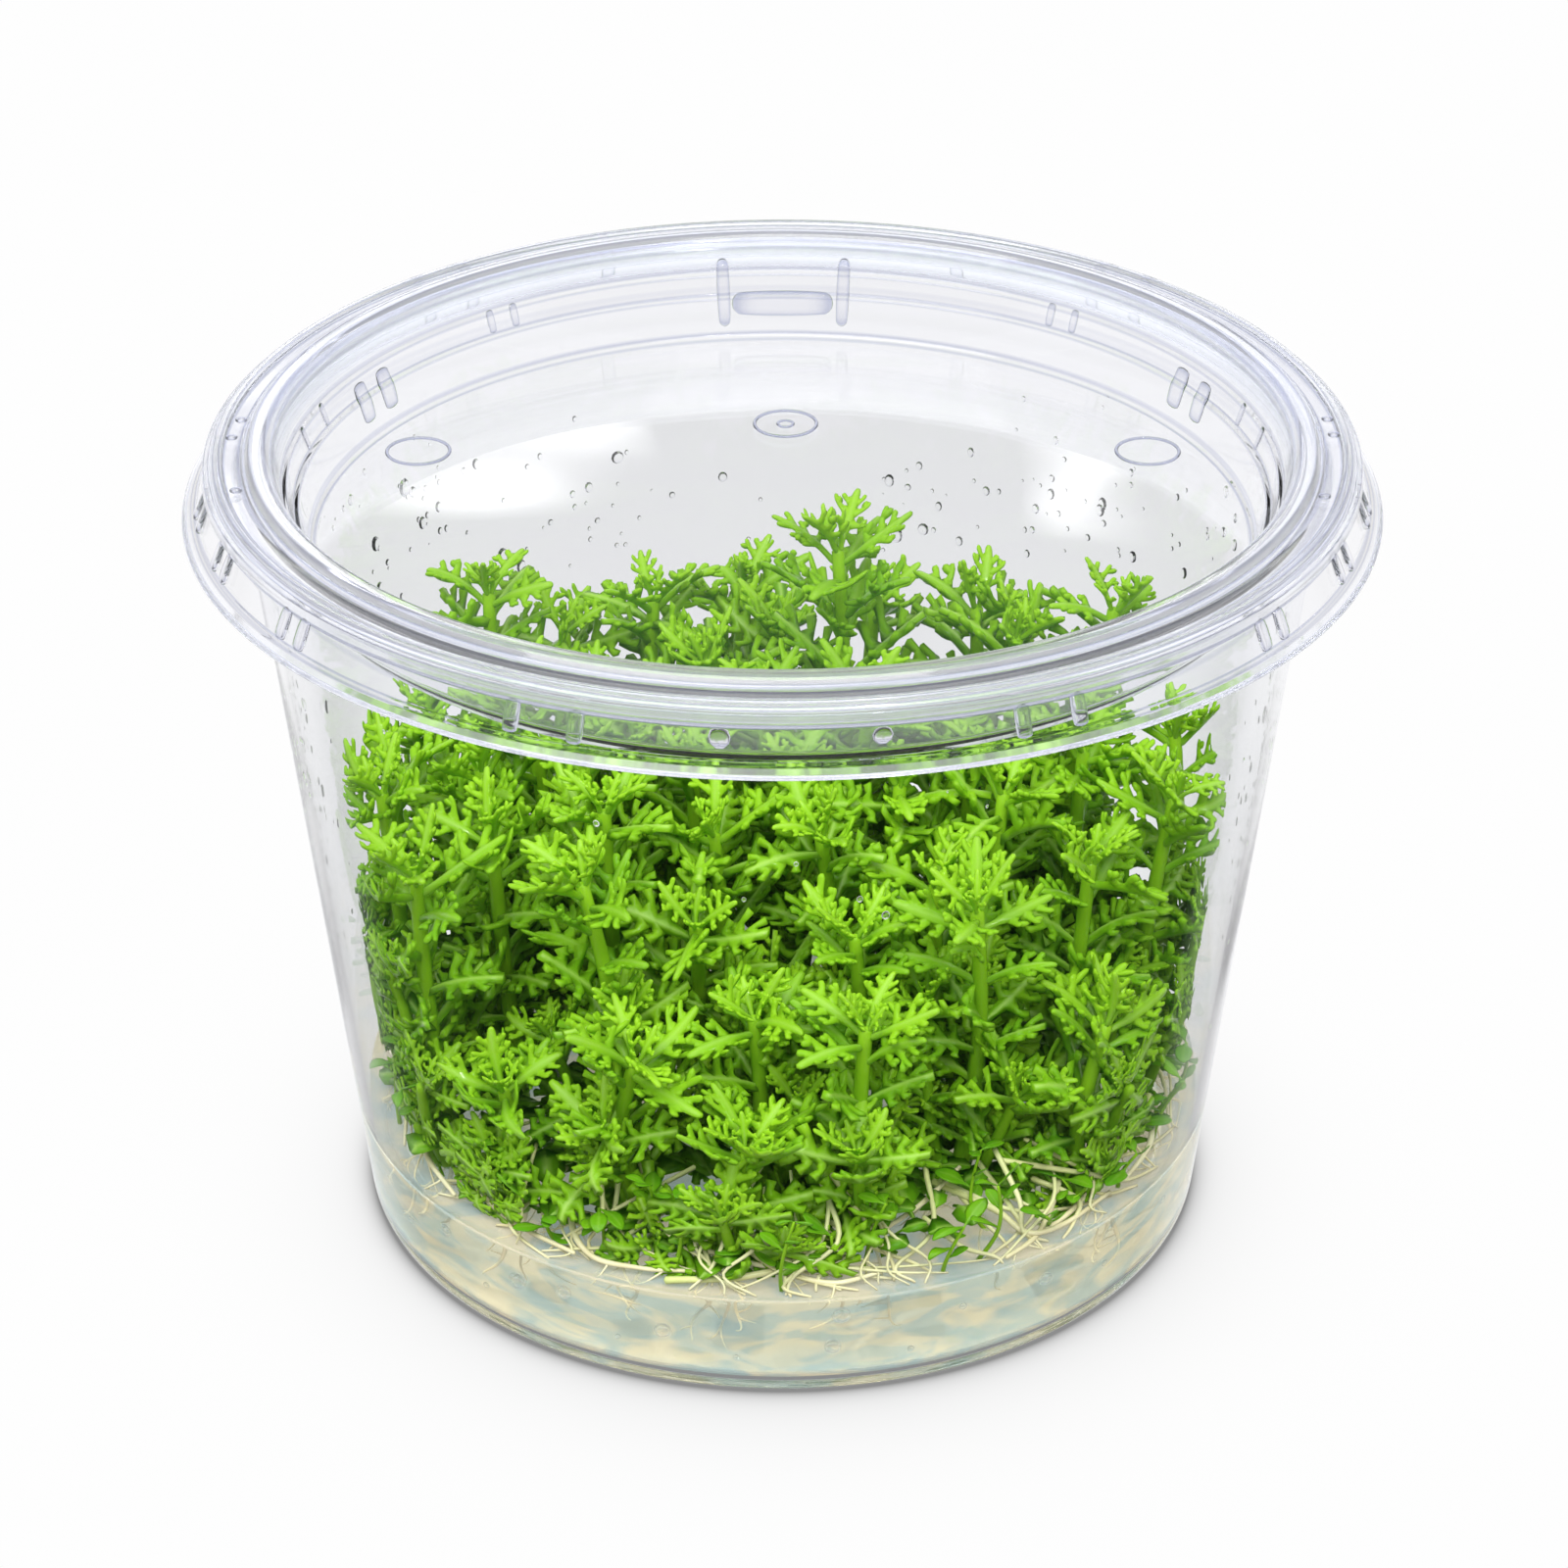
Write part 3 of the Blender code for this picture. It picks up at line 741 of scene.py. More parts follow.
def make_lid(settings):
    """The lid: turned outline, skirt ribs, inner strips, lifting tab, gate circles and rim bumps."""
    material = clear_plastic("clear_lid", tuple(settings.lid_tint), 55.0, (0.0, 0.03), 0.7)
    rim = clear_plastic("lid_rim", tuple(settings.rim_tint), 55.0, (0.08, 0.16), 0.7, 1.49, settings.rim_clearness, 0.0)
    shapes = Shapes()
    outline = rounded_outline(LID_OUTLINE)
    shapes.add(*turned(outline, settings.segments), edge=edge_values(outline, settings.segments))
    hazy = strips_where(outline, settings.segments, lambda radius, height: (
        (radius > 46.0 * MM) & (radius < 49.3 * MM) & (height > 75.8 * MM))
        | ((radius > 51.1 * MM) & (height > 76.0 * MM)) | (radius > 54.3 * MM))
    skin = 0.03 * MM
    lean = (53.65 - 52.75) / (73.85 - 75.85)
    strip = (46.65 - 43.55) / (77.95 - 69.1)
    # Angles, radius at the foot, slope, foot, top, width, depth and columns of each kind of pad
    pads = (
        (SKIRT_RIBS, 53.70 + skin / MM, lean, 73.4, 76.15, settings.rib_width / MM, 0.38, 7),
        (INNER_STRIPS, 44.75, strip, 73.0, 75.2, 0.9, -0.12, 7),
        (INNER_LOOPS, 43.90, strip, 70.4, 74.2, 2.2, -0.12, 7),
        (TAB_POSTS, 43.65, strip, 69.9, 76.4, 1.3, -0.35, 7),
        ((180.0,), 43.90, strip, 70.8, 73.2, 10.2, -0.20, 15),
    )
    for angles, radius, slope, low, high, width, depth, columns in pads:
        pad, border = slab_on_wall(angles, radius * MM, slope, low * MM, high * MM, width * MM, depth * MM, columns)
        shapes.add(*pad, edge=border)
    panel = LID_OUTLINE[1][1] * MM
    # The gate circles carry the full painted edge shade and the rim bumps half of it
    for place in GATE_PLACES:
        centre = (place[0] * MM, place[1] * MM)
        shapes.add(*ring_bead(centre, settings.gate_radius, panel + 0.12 * MM, 0.18 * MM), edge=1.0)
    middle = (GATE_PLACES[1][0] * MM, GATE_PLACES[1][1] * MM)
    shapes.add(*ring_bead(middle, 0.75 * MM, panel + 0.10 * MM, 0.15 * MM, 32), edge=1.0)
    for angle, radius in RIM_BUMPS:
        turn = math.radians(angle)
        centre = (radius * MM * math.sin(turn), -radius * MM * math.cos(turn))
        shapes.add(*ring_bead(centre, 0.42 * MM, 77.86 * MM, 0.16 * MM, 24), edge=0.5)
    faces = sum(len(each) for each in shapes.sizes)
    lid = shapes.piece("clear_lid", material, (rim, np.concatenate([hazy, np.zeros(faces - len(hazy))])))
    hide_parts("lid")
    see_through(lid)
    return lid


# Gel, bubbles, roots

# Air bubbles near the cup's wall: angle from the front, height over the table and radius
BUBBLES = (
    (-37.5, 6.4, 0.95), (-29.8, 7.4, 0.8), (-15.8, 5.6, 0.85), (7.6, 8.3, 0.9), (6.6, 4.6, 0.8),
    (37.0, 6.9, 0.75), (-50.5, 7.9, 0.7), (-43.0, 4.2, 0.35), (-22.0, 4.0, 0.3), (17.0, 3.4, 0.35),
    (24.0, 7.2, 0.4), (-6.0, 3.6, 0.28), (48.0, 5.0, 0.4), (-60.0, 5.2, 0.45), (62.0, 6.8, 0.5),
    (95.0, 6.0, 0.6), (-98.0, 5.4, 0.7), (128.0, 6.6, 0.7), (-134.0, 5.0, 0.6), (171.0, 6.2, 0.8),
    (-160.0, 4.4, 0.4), (150.0, 3.8, 0.45),
)


def ball(segments=20, rings=12):
    """A unit sphere by longitude and latitude, closed at both poles."""
    tilt = np.linspace(math.pi / 2, -math.pi / 2, rings + 1)
    outline = np.stack([np.cos(tilt), np.sin(tilt)], -1)
    return turned(outline, segments)


def make_gel(settings):
    """The gel: a disc whose top rises to the wall in a meniscus and dips in long soft waves, with bubbles.

    It reaches a little into the cup's wall and floor, so that no film of air shows between them.

    The top's height is level + meniscus exp(-(edge - r) / 0.9 mm) + a sum of three long waves in angle
    and radius. Bubbles are spheres turned inside out, so that their air is outside the gel.
    """
    material = gel_material(settings)
    gap = -0.12 * MM
    top, base = GEL_HIGH.z, FLOOR + gap
    edge_top, edge_low = wall_inside(top) - gap, wall_inside(base + 0.9 * MM) - gap
    radii = edge_top * np.concatenate([[0], np.linspace(0.06, 0.93, 24), np.linspace(0.94, 1.0, 12)])
    rise = settings.meniscus * np.exp(-(edge_top - radii) / (0.9 * MM))
    upper = np.stack([radii, top + rise], -1)
    heights = np.linspace(top + settings.meniscus - 0.4 * MM, base + 1.1 * MM, 12)
    side = np.stack([wall_inside(heights) - gap, heights], -1)
    turn = np.linspace(0.0, math.pi / 2, 7)
    corner = np.stack([edge_low - 0.9 * MM + 0.9 * MM * np.cos(turn), base + 0.9 * MM - 0.9 * MM * np.sin(turn)], -1)
    outline = np.concatenate([upper, side, corner, [[0.0, base]]])
    points, corners, sizes = turned(outline, 192)
    radius, angle = np.hypot(points[:, 0], points[:, 1]), np.arctan2(points[:, 1], points[:, 0])
    on_top = points[:, 2] > top - 0.05 * MM
    inward = np.clip((edge_top - radius) / (6 * MM), 0, 1)
    wave = (np.sin(3 * angle + radius / (7 * MM)) + np.sin(5 * angle - radius / (5 * MM) + 1.0)
            + np.sin(2 * angle + radius / (11 * MM) + 2.0))
    points[:, 2] += np.where(on_top, 0.07 * MM * wave * inward, 0.0)
    shapes = Shapes()
    shapes.add(points, corners, sizes)
    sphere, sphere_corners, sphere_sizes = ball()
    places = np.array(BUBBLES)
    turn = np.radians(places[:, 0])
    size = places[:, 2] * MM
    reach = wall_inside(places[:, 1] * MM) - gap - size - 0.06 * MM
    centre = np.stack([reach * np.sin(turn), -reach * np.cos(turn), places[:, 1] * MM], -1)
    bubbles = centre[:, None] + size[:, None, None] * sphere * [1.0, 1.0, 0.92]
    shapes.add(bubbles, sphere_corners[::-1], sphere_sizes[::-1])
    airy = np.repeat([False, True], [len(sizes), len(sphere_sizes) * len(BUBBLES)])
    gel = shapes.piece("agar_gel", material, (water_material("bubble_skin", 1.34), airy))
    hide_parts("gel")
    see_through(gel)
    return gel


def node_points(name):
    """The CAD node's own points, in the frame."""
    mesh = frame["nodes"][name].data
    points = np.zeros(len(mesh.vertices) * 3)
    mesh.vertices.foreach_get("co", points)
    return points.reshape(-1, 3)


def stem_line(name):
    """Foot and tip of a plantlet's CAD solid."""
    points = node_points(name)
    low = points[points[:, 2] < points[:, 2].min() + 0.6 * MM]
    return low.mean(0), points[points[:, 2].argmax()]


def make_roots(settings):
    """Roots in the gel: from each foot a few threads dive, bend outward and taper, with side threads.

    A thread is foot + outward reach t^0.8 - depth (1 - (1 - t)^2), with a slow sideways sine.
    """
    rng = np.random.default_rng(settings.seed)
    feet = np.array([stem_line(name)[0] for name in PLANTLETS])
    feet = feet[np.hypot(feet[:, 0], feet[:, 1]) > 25 * MM]
    each = settings.roots_each
    start = np.repeat(feet, each, 0)
    count = len(start)
    t = np.linspace(0, 1, 14)[None, :, None]
    out = np.arctan2(start[:, 1], start[:, 0]) + rng.normal(0, 0.9, count)
    reach = rng.uniform(4, 11, count) * MM
    depth = rng.uniform(2.5, 6.8, count) * MM
    heading = np.stack([np.cos(out), np.sin(out), 0 * out], -1)[:, None]
    across = np.stack([-np.sin(out), np.cos(out), 0 * out], -1)[:, None]
    sway = rng.uniform(0.4, 1.6, count)[:, None, None] * MM
    phase = rng.uniform(0, math.tau, count)[:, None, None]
    start = start + [0, 0, -1.0 * MM]
    start[:, 2] = GEL_HIGH.z + 0.2 * MM
    path = (start[:, None] + heading * reach[:, None, None] * t ** 0.8
            + across * sway * (np.sin(5.0 * t + phase) - np.sin(phase))
            - np.array([0, 0, 1.0]) * depth[:, None, None] * (1 - (1 - t) ** 2))
    radius = np.hypot(path[..., 0], path[..., 1])
    limit = wall_inside(path[..., 2]) - 1.0 * MM
    path[..., :2] *= np.minimum(1, limit / radius)[..., None]
    path[..., 2] = np.maximum(path[..., 2], FLOOR + 0.6 * MM)
    thick = rng.uniform(0.18, 0.32, count)[:, None] * MM * (1.05 - 0.75 * t[:, :, 0])
    shapes = Shapes()
    corners, sizes = tube_faces(14, 6)
    shade = rng.uniform(0, 1, count)
    shapes.add(tubes(path, thick, 6), corners, sizes, shade=shade[:, None], young=0.0)
    rows = rng.integers(0, count, count * 2)
    begin = rng.integers(3, 10, count * 2)
    origin = path[rows, begin]
    turn = rng.uniform(0, math.tau, len(rows))
    small = np.linspace(0, 1, 7)[None, :, None]
    length = rng.uniform(1.2, 3.6, len(rows))[:, None, None] * MM
    direction = np.stack([np.cos(turn), np.sin(turn), rng.uniform(-0.5, 0.25, len(rows))], -1)[:, None]
    curl = np.stack([-np.sin(turn), np.cos(turn), 0 * turn], -1)[:, None] * length * 0.35
    side = origin[:, None] + direction * length * small + curl * small ** 2
    radius = np.hypot(side[..., 0], side[..., 1])
    side[..., :2] *= np.minimum(1, (wall_inside(side[..., 2]) - 0.9 * MM) / radius)[..., None]
    side[..., 2] = np.clip(side[..., 2], FLOOR + 0.5 * MM, GEL_HIGH.z - 0.3 * MM)
    fine = 0.13 * MM * (1.05 - 0.8 * small[:, :, 0]) + 0 * length[:, :, 0]
    corners, sizes = tube_faces(7, 5)
    shapes.add(tubes(side, fine, 5), corners, sizes, shade=rng.uniform(0, 1, len(rows))[:, None], young=0.0)
    material = stem_material("root_cream", (0.80, 0.74, 0.48), (0.66, 0.56, 0.30), (0.75, 0.8, 0.4))
    roots = shapes.piece("roots_in_gel", material)
    return roots


# Leaves

def refined(corners, sizes, count):
    """One Catmull-Clark step of a closed cage, as weights: new points are weights @ cage points.

    A face point is its corners' mean; an edge point is half the edge's middle and half the mean of its two
    face points; a cage point P of valence n moves to (F + 2 R + (n - 3) P) / n, where F and R are the means
    of the face points and edge middles round it. Returns the weights, the new quads and their sizes.
    """
    corners, sizes = np.asarray(corners), np.asarray(sizes)
    faces = len(sizes)
    face_of = np.repeat(np.arange(faces), sizes)
    start = np.repeat(np.cumsum(sizes) - sizes, sizes)
    size = np.repeat(sizes, sizes)
    place = np.arange(len(corners)) - start
    after = corners[start + (place + 1) % size]
    face_points = np.zeros((faces, count))
    np.add.at(face_points, (face_of, corners), 1.0 / size)
    edges, edge_of = np.unique(np.sort(np.stack([corners, after], 1), 1), axis=0, return_inverse=True)
    edge_of = edge_of.ravel()
    edge_index = np.arange(len(edges))
    middles = np.zeros((len(edges), count))
    middles[edge_index, edges[:, 0]] = middles[edge_index, edges[:, 1]] = 0.5
    edge_faces = np.zeros((len(edges), faces))
    np.add.at(edge_faces, (edge_of, face_of), 0.5)
    edge_points = 0.5 * middles + 0.5 * edge_faces @ face_points
    valence = np.bincount(corners, minlength=count)[:, None]
    near_faces = np.zeros((count, faces))
    np.add.at(near_faces, (corners, face_of), 1.0)
    near_edges = np.zeros((count, len(edges)))
    near_edges[edges[:, 0], edge_index] = near_edges[edges[:, 1], edge_index] = 1.0
    moved = (near_faces @ face_points + 2 * near_edges @ middles) / valence + (valence - 3) * np.eye(count)
    before = edge_of[start + (place - 1) % size]
    quads = np.stack([corners, count + edge_of, count + len(edges) + face_of, count + before], 1)
    weights = np.concatenate([moved / valence, edge_points, face_points])
    return weights, quads.ravel(), np.full(len(quads), 4)


LOBE_RINGS = 2


def leaf_cage(pairs):
    """Faces of a closed leaf cage with so many pairs of finger lobes.

    Stations run from the stalk to the tip, each with a left, top, right and bottom point. Between two
    stations of the blade each side opens into a four-cornered port: two station points and two points of
    its own. A lobe of four-sided rings stands out from it and ends in a cap.
    Returns corners, sizes and the number of points.
    """
    faces = []
    stations = pairs + 4
    station = np.arange(stations * 4).reshape(stations, 4)
    count = stations * 4
    faces.append(list(station[0][::-1]))
    for a in range(stations - 1):
        left_a, top_a, right_a, low_a = station[a]
        left_b, top_b, right_b, low_b = station[a + 1]
        if not 2 <= a < pairs + 2:
            faces += [[top_a, top_b, left_b, left_a], [low_a, left_a, left_b, low_b],
                      [top_a, right_a, right_b, top_b], [low_a, low_b, right_b, right_a]]
            continue
        for side in (0, 1):
            ports = np.arange(count, count + 2)
            rings = np.arange(count + 2, count + 2 + 4 * LOBE_RINGS).reshape(LOBE_RINGS, 4)
            count += 2 + 4 * LOBE_RINGS
            edge_a, edge_b = (left_a, left_b) if side == 0 else (right_a, right_b)
            lobe = [[top_a, top_b, edge_b, ports[0], edge_a], [low_a, edge_a, ports[1], edge_b, low_b]]
            below = np.array([edge_a, ports[0], edge_b, ports[1]])
            for ring in rings:
                for i in range(4):
                    lobe.append([below[i], below[(i + 1) % 4], ring[(i + 1) % 4], ring[i]])
                below = ring
            lobe.append(list(below))
            faces += lobe if side == 0 else [face[::-1] for face in lobe]
    faces.append(list(station[-1]))
    corners = np.concatenate([np.asarray(face, int) for face in faces])
    return corners, np.array([len(face) for face in faces]), count


def leaf_shape(rng, count, pairs, plump):
    """Flat leaves of unit length: points (count, n, 3), their along and across values, and tooth lines.

    The stalk is the first third. A lobe's rings lie along a line from its port, at a forward angle that
    closes towards the tip; its length rises to the second pair and falls to the last, and its end is
    blunt. A tooth line leaves a lower lobe half way out, a turn to one side of it.
    """
    stations = pairs + 4
    x = np.concatenate([[0.0, 0.14], np.linspace(0.30, 0.83, pairs + 1), [0.98]])
    wide = np.concatenate([[0.060, 0.050], np.linspace(0.072, 0.078, pairs + 1), [0.072]])
    wide[2 + pairs] = 0.062
    thick = np.concatenate([[0.062, 0.056], np.linspace(0.054, 0.044, pairs + 1), [0.044]]) * plump
    width = wide * plump * rng.uniform(0.9, 1.12, (count, 1)) * rng.uniform(0.94, 1.06, (count, stations))
    points = np.zeros((count, stations * 4 + 2 * pairs * (2 + 4 * LOBE_RINGS), 3))
    along = np.zeros(points.shape[1])
    across = np.zeros(points.shape[1])
    grid = np.zeros((count, stations, 4, 3))
    grid[..., 0] = x[:, None]
    grid[:, :, 0, 1], grid[:, :, 2, 1] = width, -width
    grid[:, :, 1, 2], grid[:, :, 3, 2] = 0.85 * thick, -1.2 * thick
    points[:, :stations * 4] = grid.reshape(count, -1, 3)
    along[:stations * 4] = np.repeat(x, 4)
    across[:stations * 4] = np.tile([0.5, 0.0, 0.5, 0.0], stations)
    middle = 0.5 * (x[2:-2] + x[3:-1])
    rank = np.linspace(0, 1, pairs)
    reach = np.interp(rank, (0, 0.4, 0.7, 1.0), (0.20, 0.26, 0.24, 0.19))
    lean = np.radians(np.interp(rank, (0, 1), (70.0, 40.0)))
    first = stations * 4
    lines = []
    for pair in range(pairs):
        for sign in (1.0, -1.0):
            angle = lean[pair] + rng.normal(0, 0.15, count)
            length = reach[pair] * rng.uniform(0.72, 1.25, count)
            edge = 0.5 * (width[:, pair + 2] + width[:, pair + 3])
            finger = 0.047 * plump * rng.uniform(0.85, 1.15, count)
            lift = rng.normal(0.02, 0.035, count)
            points[:, first:first + 2, 0] = middle[pair]
            points[:, first:first + 2, 1] = (sign * edge * 0.9)[:, None]
            points[:, first, 2], points[:, first + 1, 2] = 0.7 * thick[pair + 2], -thick[pair + 2]
            along[first:first + 2], across[first:first + 2] = middle[pair], 0.35
            for level, (part, girth) in enumerate(((0.45, 0.92), (0.97, 1.24))):
                ring = points[:, first + 2 + 4 * level:first + 6 + 4 * level]
                heading = angle - 0.12 * level
                far_x = middle[pair] - 0.03 + part * length * np.cos(heading)
                far_y = edge + part * length * np.sin(heading)
                side_x, side_y = np.sin(heading) * finger * girth, np.cos(heading) * finger * girth
                ring[:, 0, 0], ring[:, 0, 1] = far_x - side_x, sign * (far_y + side_y)
                ring[:, 2, 0], ring[:, 2, 1] = far_x + side_x, sign * (far_y - side_y)
                ring[:, 1, 0] = ring[:, 3, 0] = far_x
                ring[:, 1, 1] = ring[:, 3, 1] = sign * far_y
                ring[:, :, 2] = (lift * part)[:, None]
                ring[:, 1, 2] += (0.044 + 0.004 * level) * plump
                ring[:, 3, 2] -= (0.044 + 0.004 * level) * plump
                along[first + 2 + 4 * level:first + 6 + 4 * level] = middle[pair] + 0.1
                across[first + 2 + 4 * level:first + 6 + 4 * level] = (0.7 + 0.3 * level, 0.25 + 0.35 * level,
                                                                      0.7 + 0.3 * level, 0.25 + 0.35 * level)
            if pair < min(2, pairs - 1):
                turn = angle + rng.choice([-0.8, 0.8], count, p=[0.7, 0.3])
                t = np.array([0.0, 0.6, 1.0])
                start = np.stack([middle[pair] - 0.03 + 0.5 * length * np.cos(angle),
                                  sign * (edge + 0.5 * length * np.sin(angle)), 0.5 * lift], -1)
                ahead = np.stack([np.cos(turn), sign * np.sin(turn), 0.1 * turn], -1)
                size = 0.12 * rng.uniform(0.75, 1.2, count)
                lines.append(start[:, None] + ahead[:, None] * size[:, None, None] * t[:, None])
            first += 2 + 4 * LOBE_RINGS
    return points, along, across, np.stack(lines, 1)


def bent(points, bend, hollow, sweep):
    """Leaves arched along their length on a circle, hollowed across as y squared, and swept sideways."""
    bend = np.where(np.abs(bend) < 0.02, 0.02, bend)[:, None]
    x, y, z = points[..., 0], points[..., 1], points[..., 2]
    z = z + hollow[:, None] * y ** 2
    y = y + sweep[:, None] * x ** 2
    arch_x = np.sin(bend * x) / bend + z * np.sin(bend * x)
    arch_z = -(1 - np.cos(bend * x)) / bend + z * np.cos(bend * x)
    return np.stack([arch_x, y, arch_z], -1)


def placed(points, base, forward, upward, length):
    """Leaves moved to their base points, with their length along forward and their upper face upward."""
    forward = forward / np.linalg.norm(forward, axis=-1, keepdims=True)
    upward = upward - (upward * forward).sum(-1, keepdims=True) * forward
    upward /= np.linalg.norm(upward, axis=-1, keepdims=True)
    left = np.cross(upward, forward)
    axes = np.stack([forward, left, upward], 1)
    return base[:, None] + length[:, None, None] * np.einsum("kni,kij->knj", points, axes)


CAGES = {pairs: leaf_cage(pairs) for pairs in (2, 3)}
FINE_CAGES = {pairs: refined(*cage) for pairs, cage in CAGES.items()}
TOOTH_FACES = tube_faces(3, 4)


def add_leaves(shapes, rng, base, axis, leaf, pairs, fine):
    """Add leaves of one cage to a plantlet, pressed in where the cup's wall is in their way.

    A fine leaf's cage is rounded by one Catmull-Clark step; a leaf that hardly shows keeps its cage.
    """
    count = len(base)
    if not count:
        return
    azimuth, elevation, length = leaf["azimuth"], leaf["elevation"], leaf["length"]
    guide = np.where(np.abs(axis[:, :1]) < 0.9, [[1.0, 0, 0]], [[0, 1.0, 0]])
    side = guide - (guide * axis).sum(-1, keepdims=True) * axis
    side /= np.linalg.norm(side, axis=-1, keepdims=True)
    other = np.cross(axis, side)
    radial = side * np.cos(azimuth)[:, None] + other * np.sin(azimuth)[:, None]
    forward = radial * np.cos(elevation)[:, None] + axis * np.sin(elevation)[:, None]
    upward = -radial * np.sin(elevation)[:, None] + axis * np.cos(elevation)[:, None]
    out = base * np.where(base[:, 1:2] > 0, [[1.0, -0.4, 0.0]], [[1.0, 1.0, 0.0]])
    upward = upward + 0.75 * out / (np.linalg.norm(out, axis=-1, keepdims=True) + 12 * MM)
    upward -= (upward * forward).sum(-1, keepdims=True) * forward
    upward /= np.linalg.norm(upward, axis=-1, keepdims=True)
    tilt = rng.normal(0, 0.3, count)[:, None]
    upward = upward * np.cos(tilt) + np.cross(forward, upward) * np.sin(tilt)
    plump = float(np.clip(1.0 + (8.5 * MM - length.mean()) / (12 * MM), 0.9, 1.3))
    flat, along, across, lines = leaf_shape(rng, count, pairs, plump)
    hollow, sweep = rng.normal(1.2, 0.6, count), rng.normal(0, 0.12, count)
    corners, sizes, _ = CAGES[pairs]
    if fine:
        weights, corners, sizes = FINE_CAGES[pairs]
        flat = np.einsum("fc,kcj->kfj", weights, flat)
        along, across = weights @ along, weights @ across
        each = lines.shape[1]
        teeth = tubes(lines.reshape(count * each, 3, 3), np.tile([0.036, 0.048, 0.036], (count * each, 1)), 4)
        start = flat.shape[1] + teeth.shape[1] * np.arange(each)[:, None]
        corners = np.concatenate([corners, (TOOTH_FACES[0][None] + start).ravel()])
        sizes = np.concatenate([sizes, np.tile(TOOTH_FACES[1], each)])
        flat = np.concatenate([flat, teeth.reshape(count, -1, 3)], 1)
        along = np.concatenate([along, np.full(each * teeth.shape[1], 0.7)])
        across = np.concatenate([across, np.full(each * teeth.shape[1], 0.7)])
    points = placed(bent(flat, leaf["bend"], hollow, sweep), base + radial * 0.3 * MM, forward, upward, length)
    points = rest_on_gel(kept_in_cup(points))
    shapes.add(points, corners, sizes, along=along, across=across, shade=leaf["shade"][:, None],
               young=np.clip(leaf["young"][:, None] + 0.25 * along - 0.1, 0, 1))


def stem_path(foot, tip, sway, steps):
    """A stem from foot to tip that sways to one side as a half sine; returns points and directions."""
    t = np.linspace(0, 1, steps)[:, None]
    path = foot + (tip - foot) * t + sway * np.sin(math.pi * t)
    ahead = np.gradient(path, axis=0)
    return path, ahead / np.linalg.norm(ahead, axis=-1, keepdims=True)


# Crown pairs from the outside in: place on the stem, upward angle in degrees, share of a grown leaf's
# length, freshness and pairs of lobes
CROWN = ((0.93, 26, 1.0, 0.4, 3), (0.97, 42, 0.92, 0.55, 3), (1.0, 58, 0.72, 0.8, 3), (1.0, 76, 0.46, 1.0, 2))


def grow_shoot(shapes, rng, settings, foot, tip, scale, fine_from, stem_scale=1.0):
    """One shoot: a tapering stem with whorls of leaves that lengthen upward and a crown of young ones."""
    height = np.linalg.norm(tip - foot)
    crown = 4.6 * MM * scale
    top = tip - (tip - foot) / height * crown
    sway = rng.normal(0, 1, 3) * [1.0, 1.0, 0.0] * MM * min(1.0, height / (25 * MM))
    steps = 16
    path, ahead = stem_path(foot, top, sway, steps)
    t = np.linspace(0, 1, steps)
    spacing = settings.node_spacing * (0.7 + 0.3 * scale)
    whorls = max(2, int(round((height - crown - 4 * MM) / spacing)))
    thick = settings.stem_radius * stem_scale * (1.0 - 0.30 * t)
    corners, sizes = tube_faces(steps, 8)
    young = spread_rings(np.clip(0.15 + 0.65 * t, 0, 1)[None], 8)
    shapes.add(tubes(path[None], thick[None], 8), corners, sizes, along=0.5, across=0.5,
               shade=rng.uniform(0, 1), young=young)
    rows = []
    spin = rng.uniform(0, math.tau)
    for place in np.linspace(0.13, 0.86, whorls) + rng.normal(0, 0.012, whorls):
        leaves = 3 if 0.45 < place < 0.7 else 2
        spin += math.pi / leaves + rng.normal(0, 0.25)
        size = np.interp(place, (0.1, 0.35, 0.7, 0.9, 1.0), (0.55, 0.8, 1.0, 0.98, 0.9))
        for leaf in range(leaves):
            rows.append((place, spin + leaf * math.tau / leaves + rng.normal(0, 0.16),
                         math.radians(np.interp(place, (0.1, 0.5, 0.85, 1.0), (26, 42, 46, 50)) + rng.normal(0, 8)),
                         settings.leaf_length * scale * size * rng.uniform(0.85, 1.1),
                         np.interp(place, (0.1, 0.7, 1.0), (0.7, 0.6, 0.5)) + rng.normal(0, 0.28),
                         np.interp(place, (0.3, 0.9, 1.0), (0.0, 0.25, 0.45)), 3 if place > 0.5 else 2))
    for place, raised, size, fresh, pairs in CROWN:
        spin += math.pi / 2
        for leaf in range(2):
            rows.append((place, spin + leaf * math.pi + rng.normal(0, 0.22),
                         math.radians(raised + rng.normal(0, 7)),
                         settings.leaf_length * scale * size * rng.uniform(0.9, 1.1),
                         0.35 + rng.normal(0, 0.2), fresh, pairs))
    rows = np.array(rows)
    spot = np.clip(rows[:, 0], 0, 1) * (steps - 1)
    low = np.minimum(spot.astype(int), steps - 2)
    part = (spot - low)[:, None]
    base = path[low] * (1 - part) + path[low + 1] * part
    axis = ahead[low] * (1 - part) + ahead[low + 1] * part
    axis /= np.linalg.norm(axis, axis=-1, keepdims=True)
    # Painted shade: a leaf's shade value is random tone plus a part set by its place, so that leaves low on the stem,
    # where shade falls, are painted darker
    shade = np.clip(rng.normal(0.45, 0.28, len(rows)) + 0.5 * (0.6 - rows[:, 0]), 0, 1)
    for pairs in CAGES:
        for fine in (False, True):
            pick = (rows[:, 6] == pairs) & ((rows[:, 0] >= fine_from) == fine)
            leaf = {"azimuth": rows[pick, 1], "elevation": rows[pick, 2], "length": rows[pick, 3],
                    "bend": rows[pick, 4], "young": rows[pick, 5], "shade": shade[pick]}
            add_leaves(shapes, rng, base[pick], axis[pick], leaf, pairs, fine)


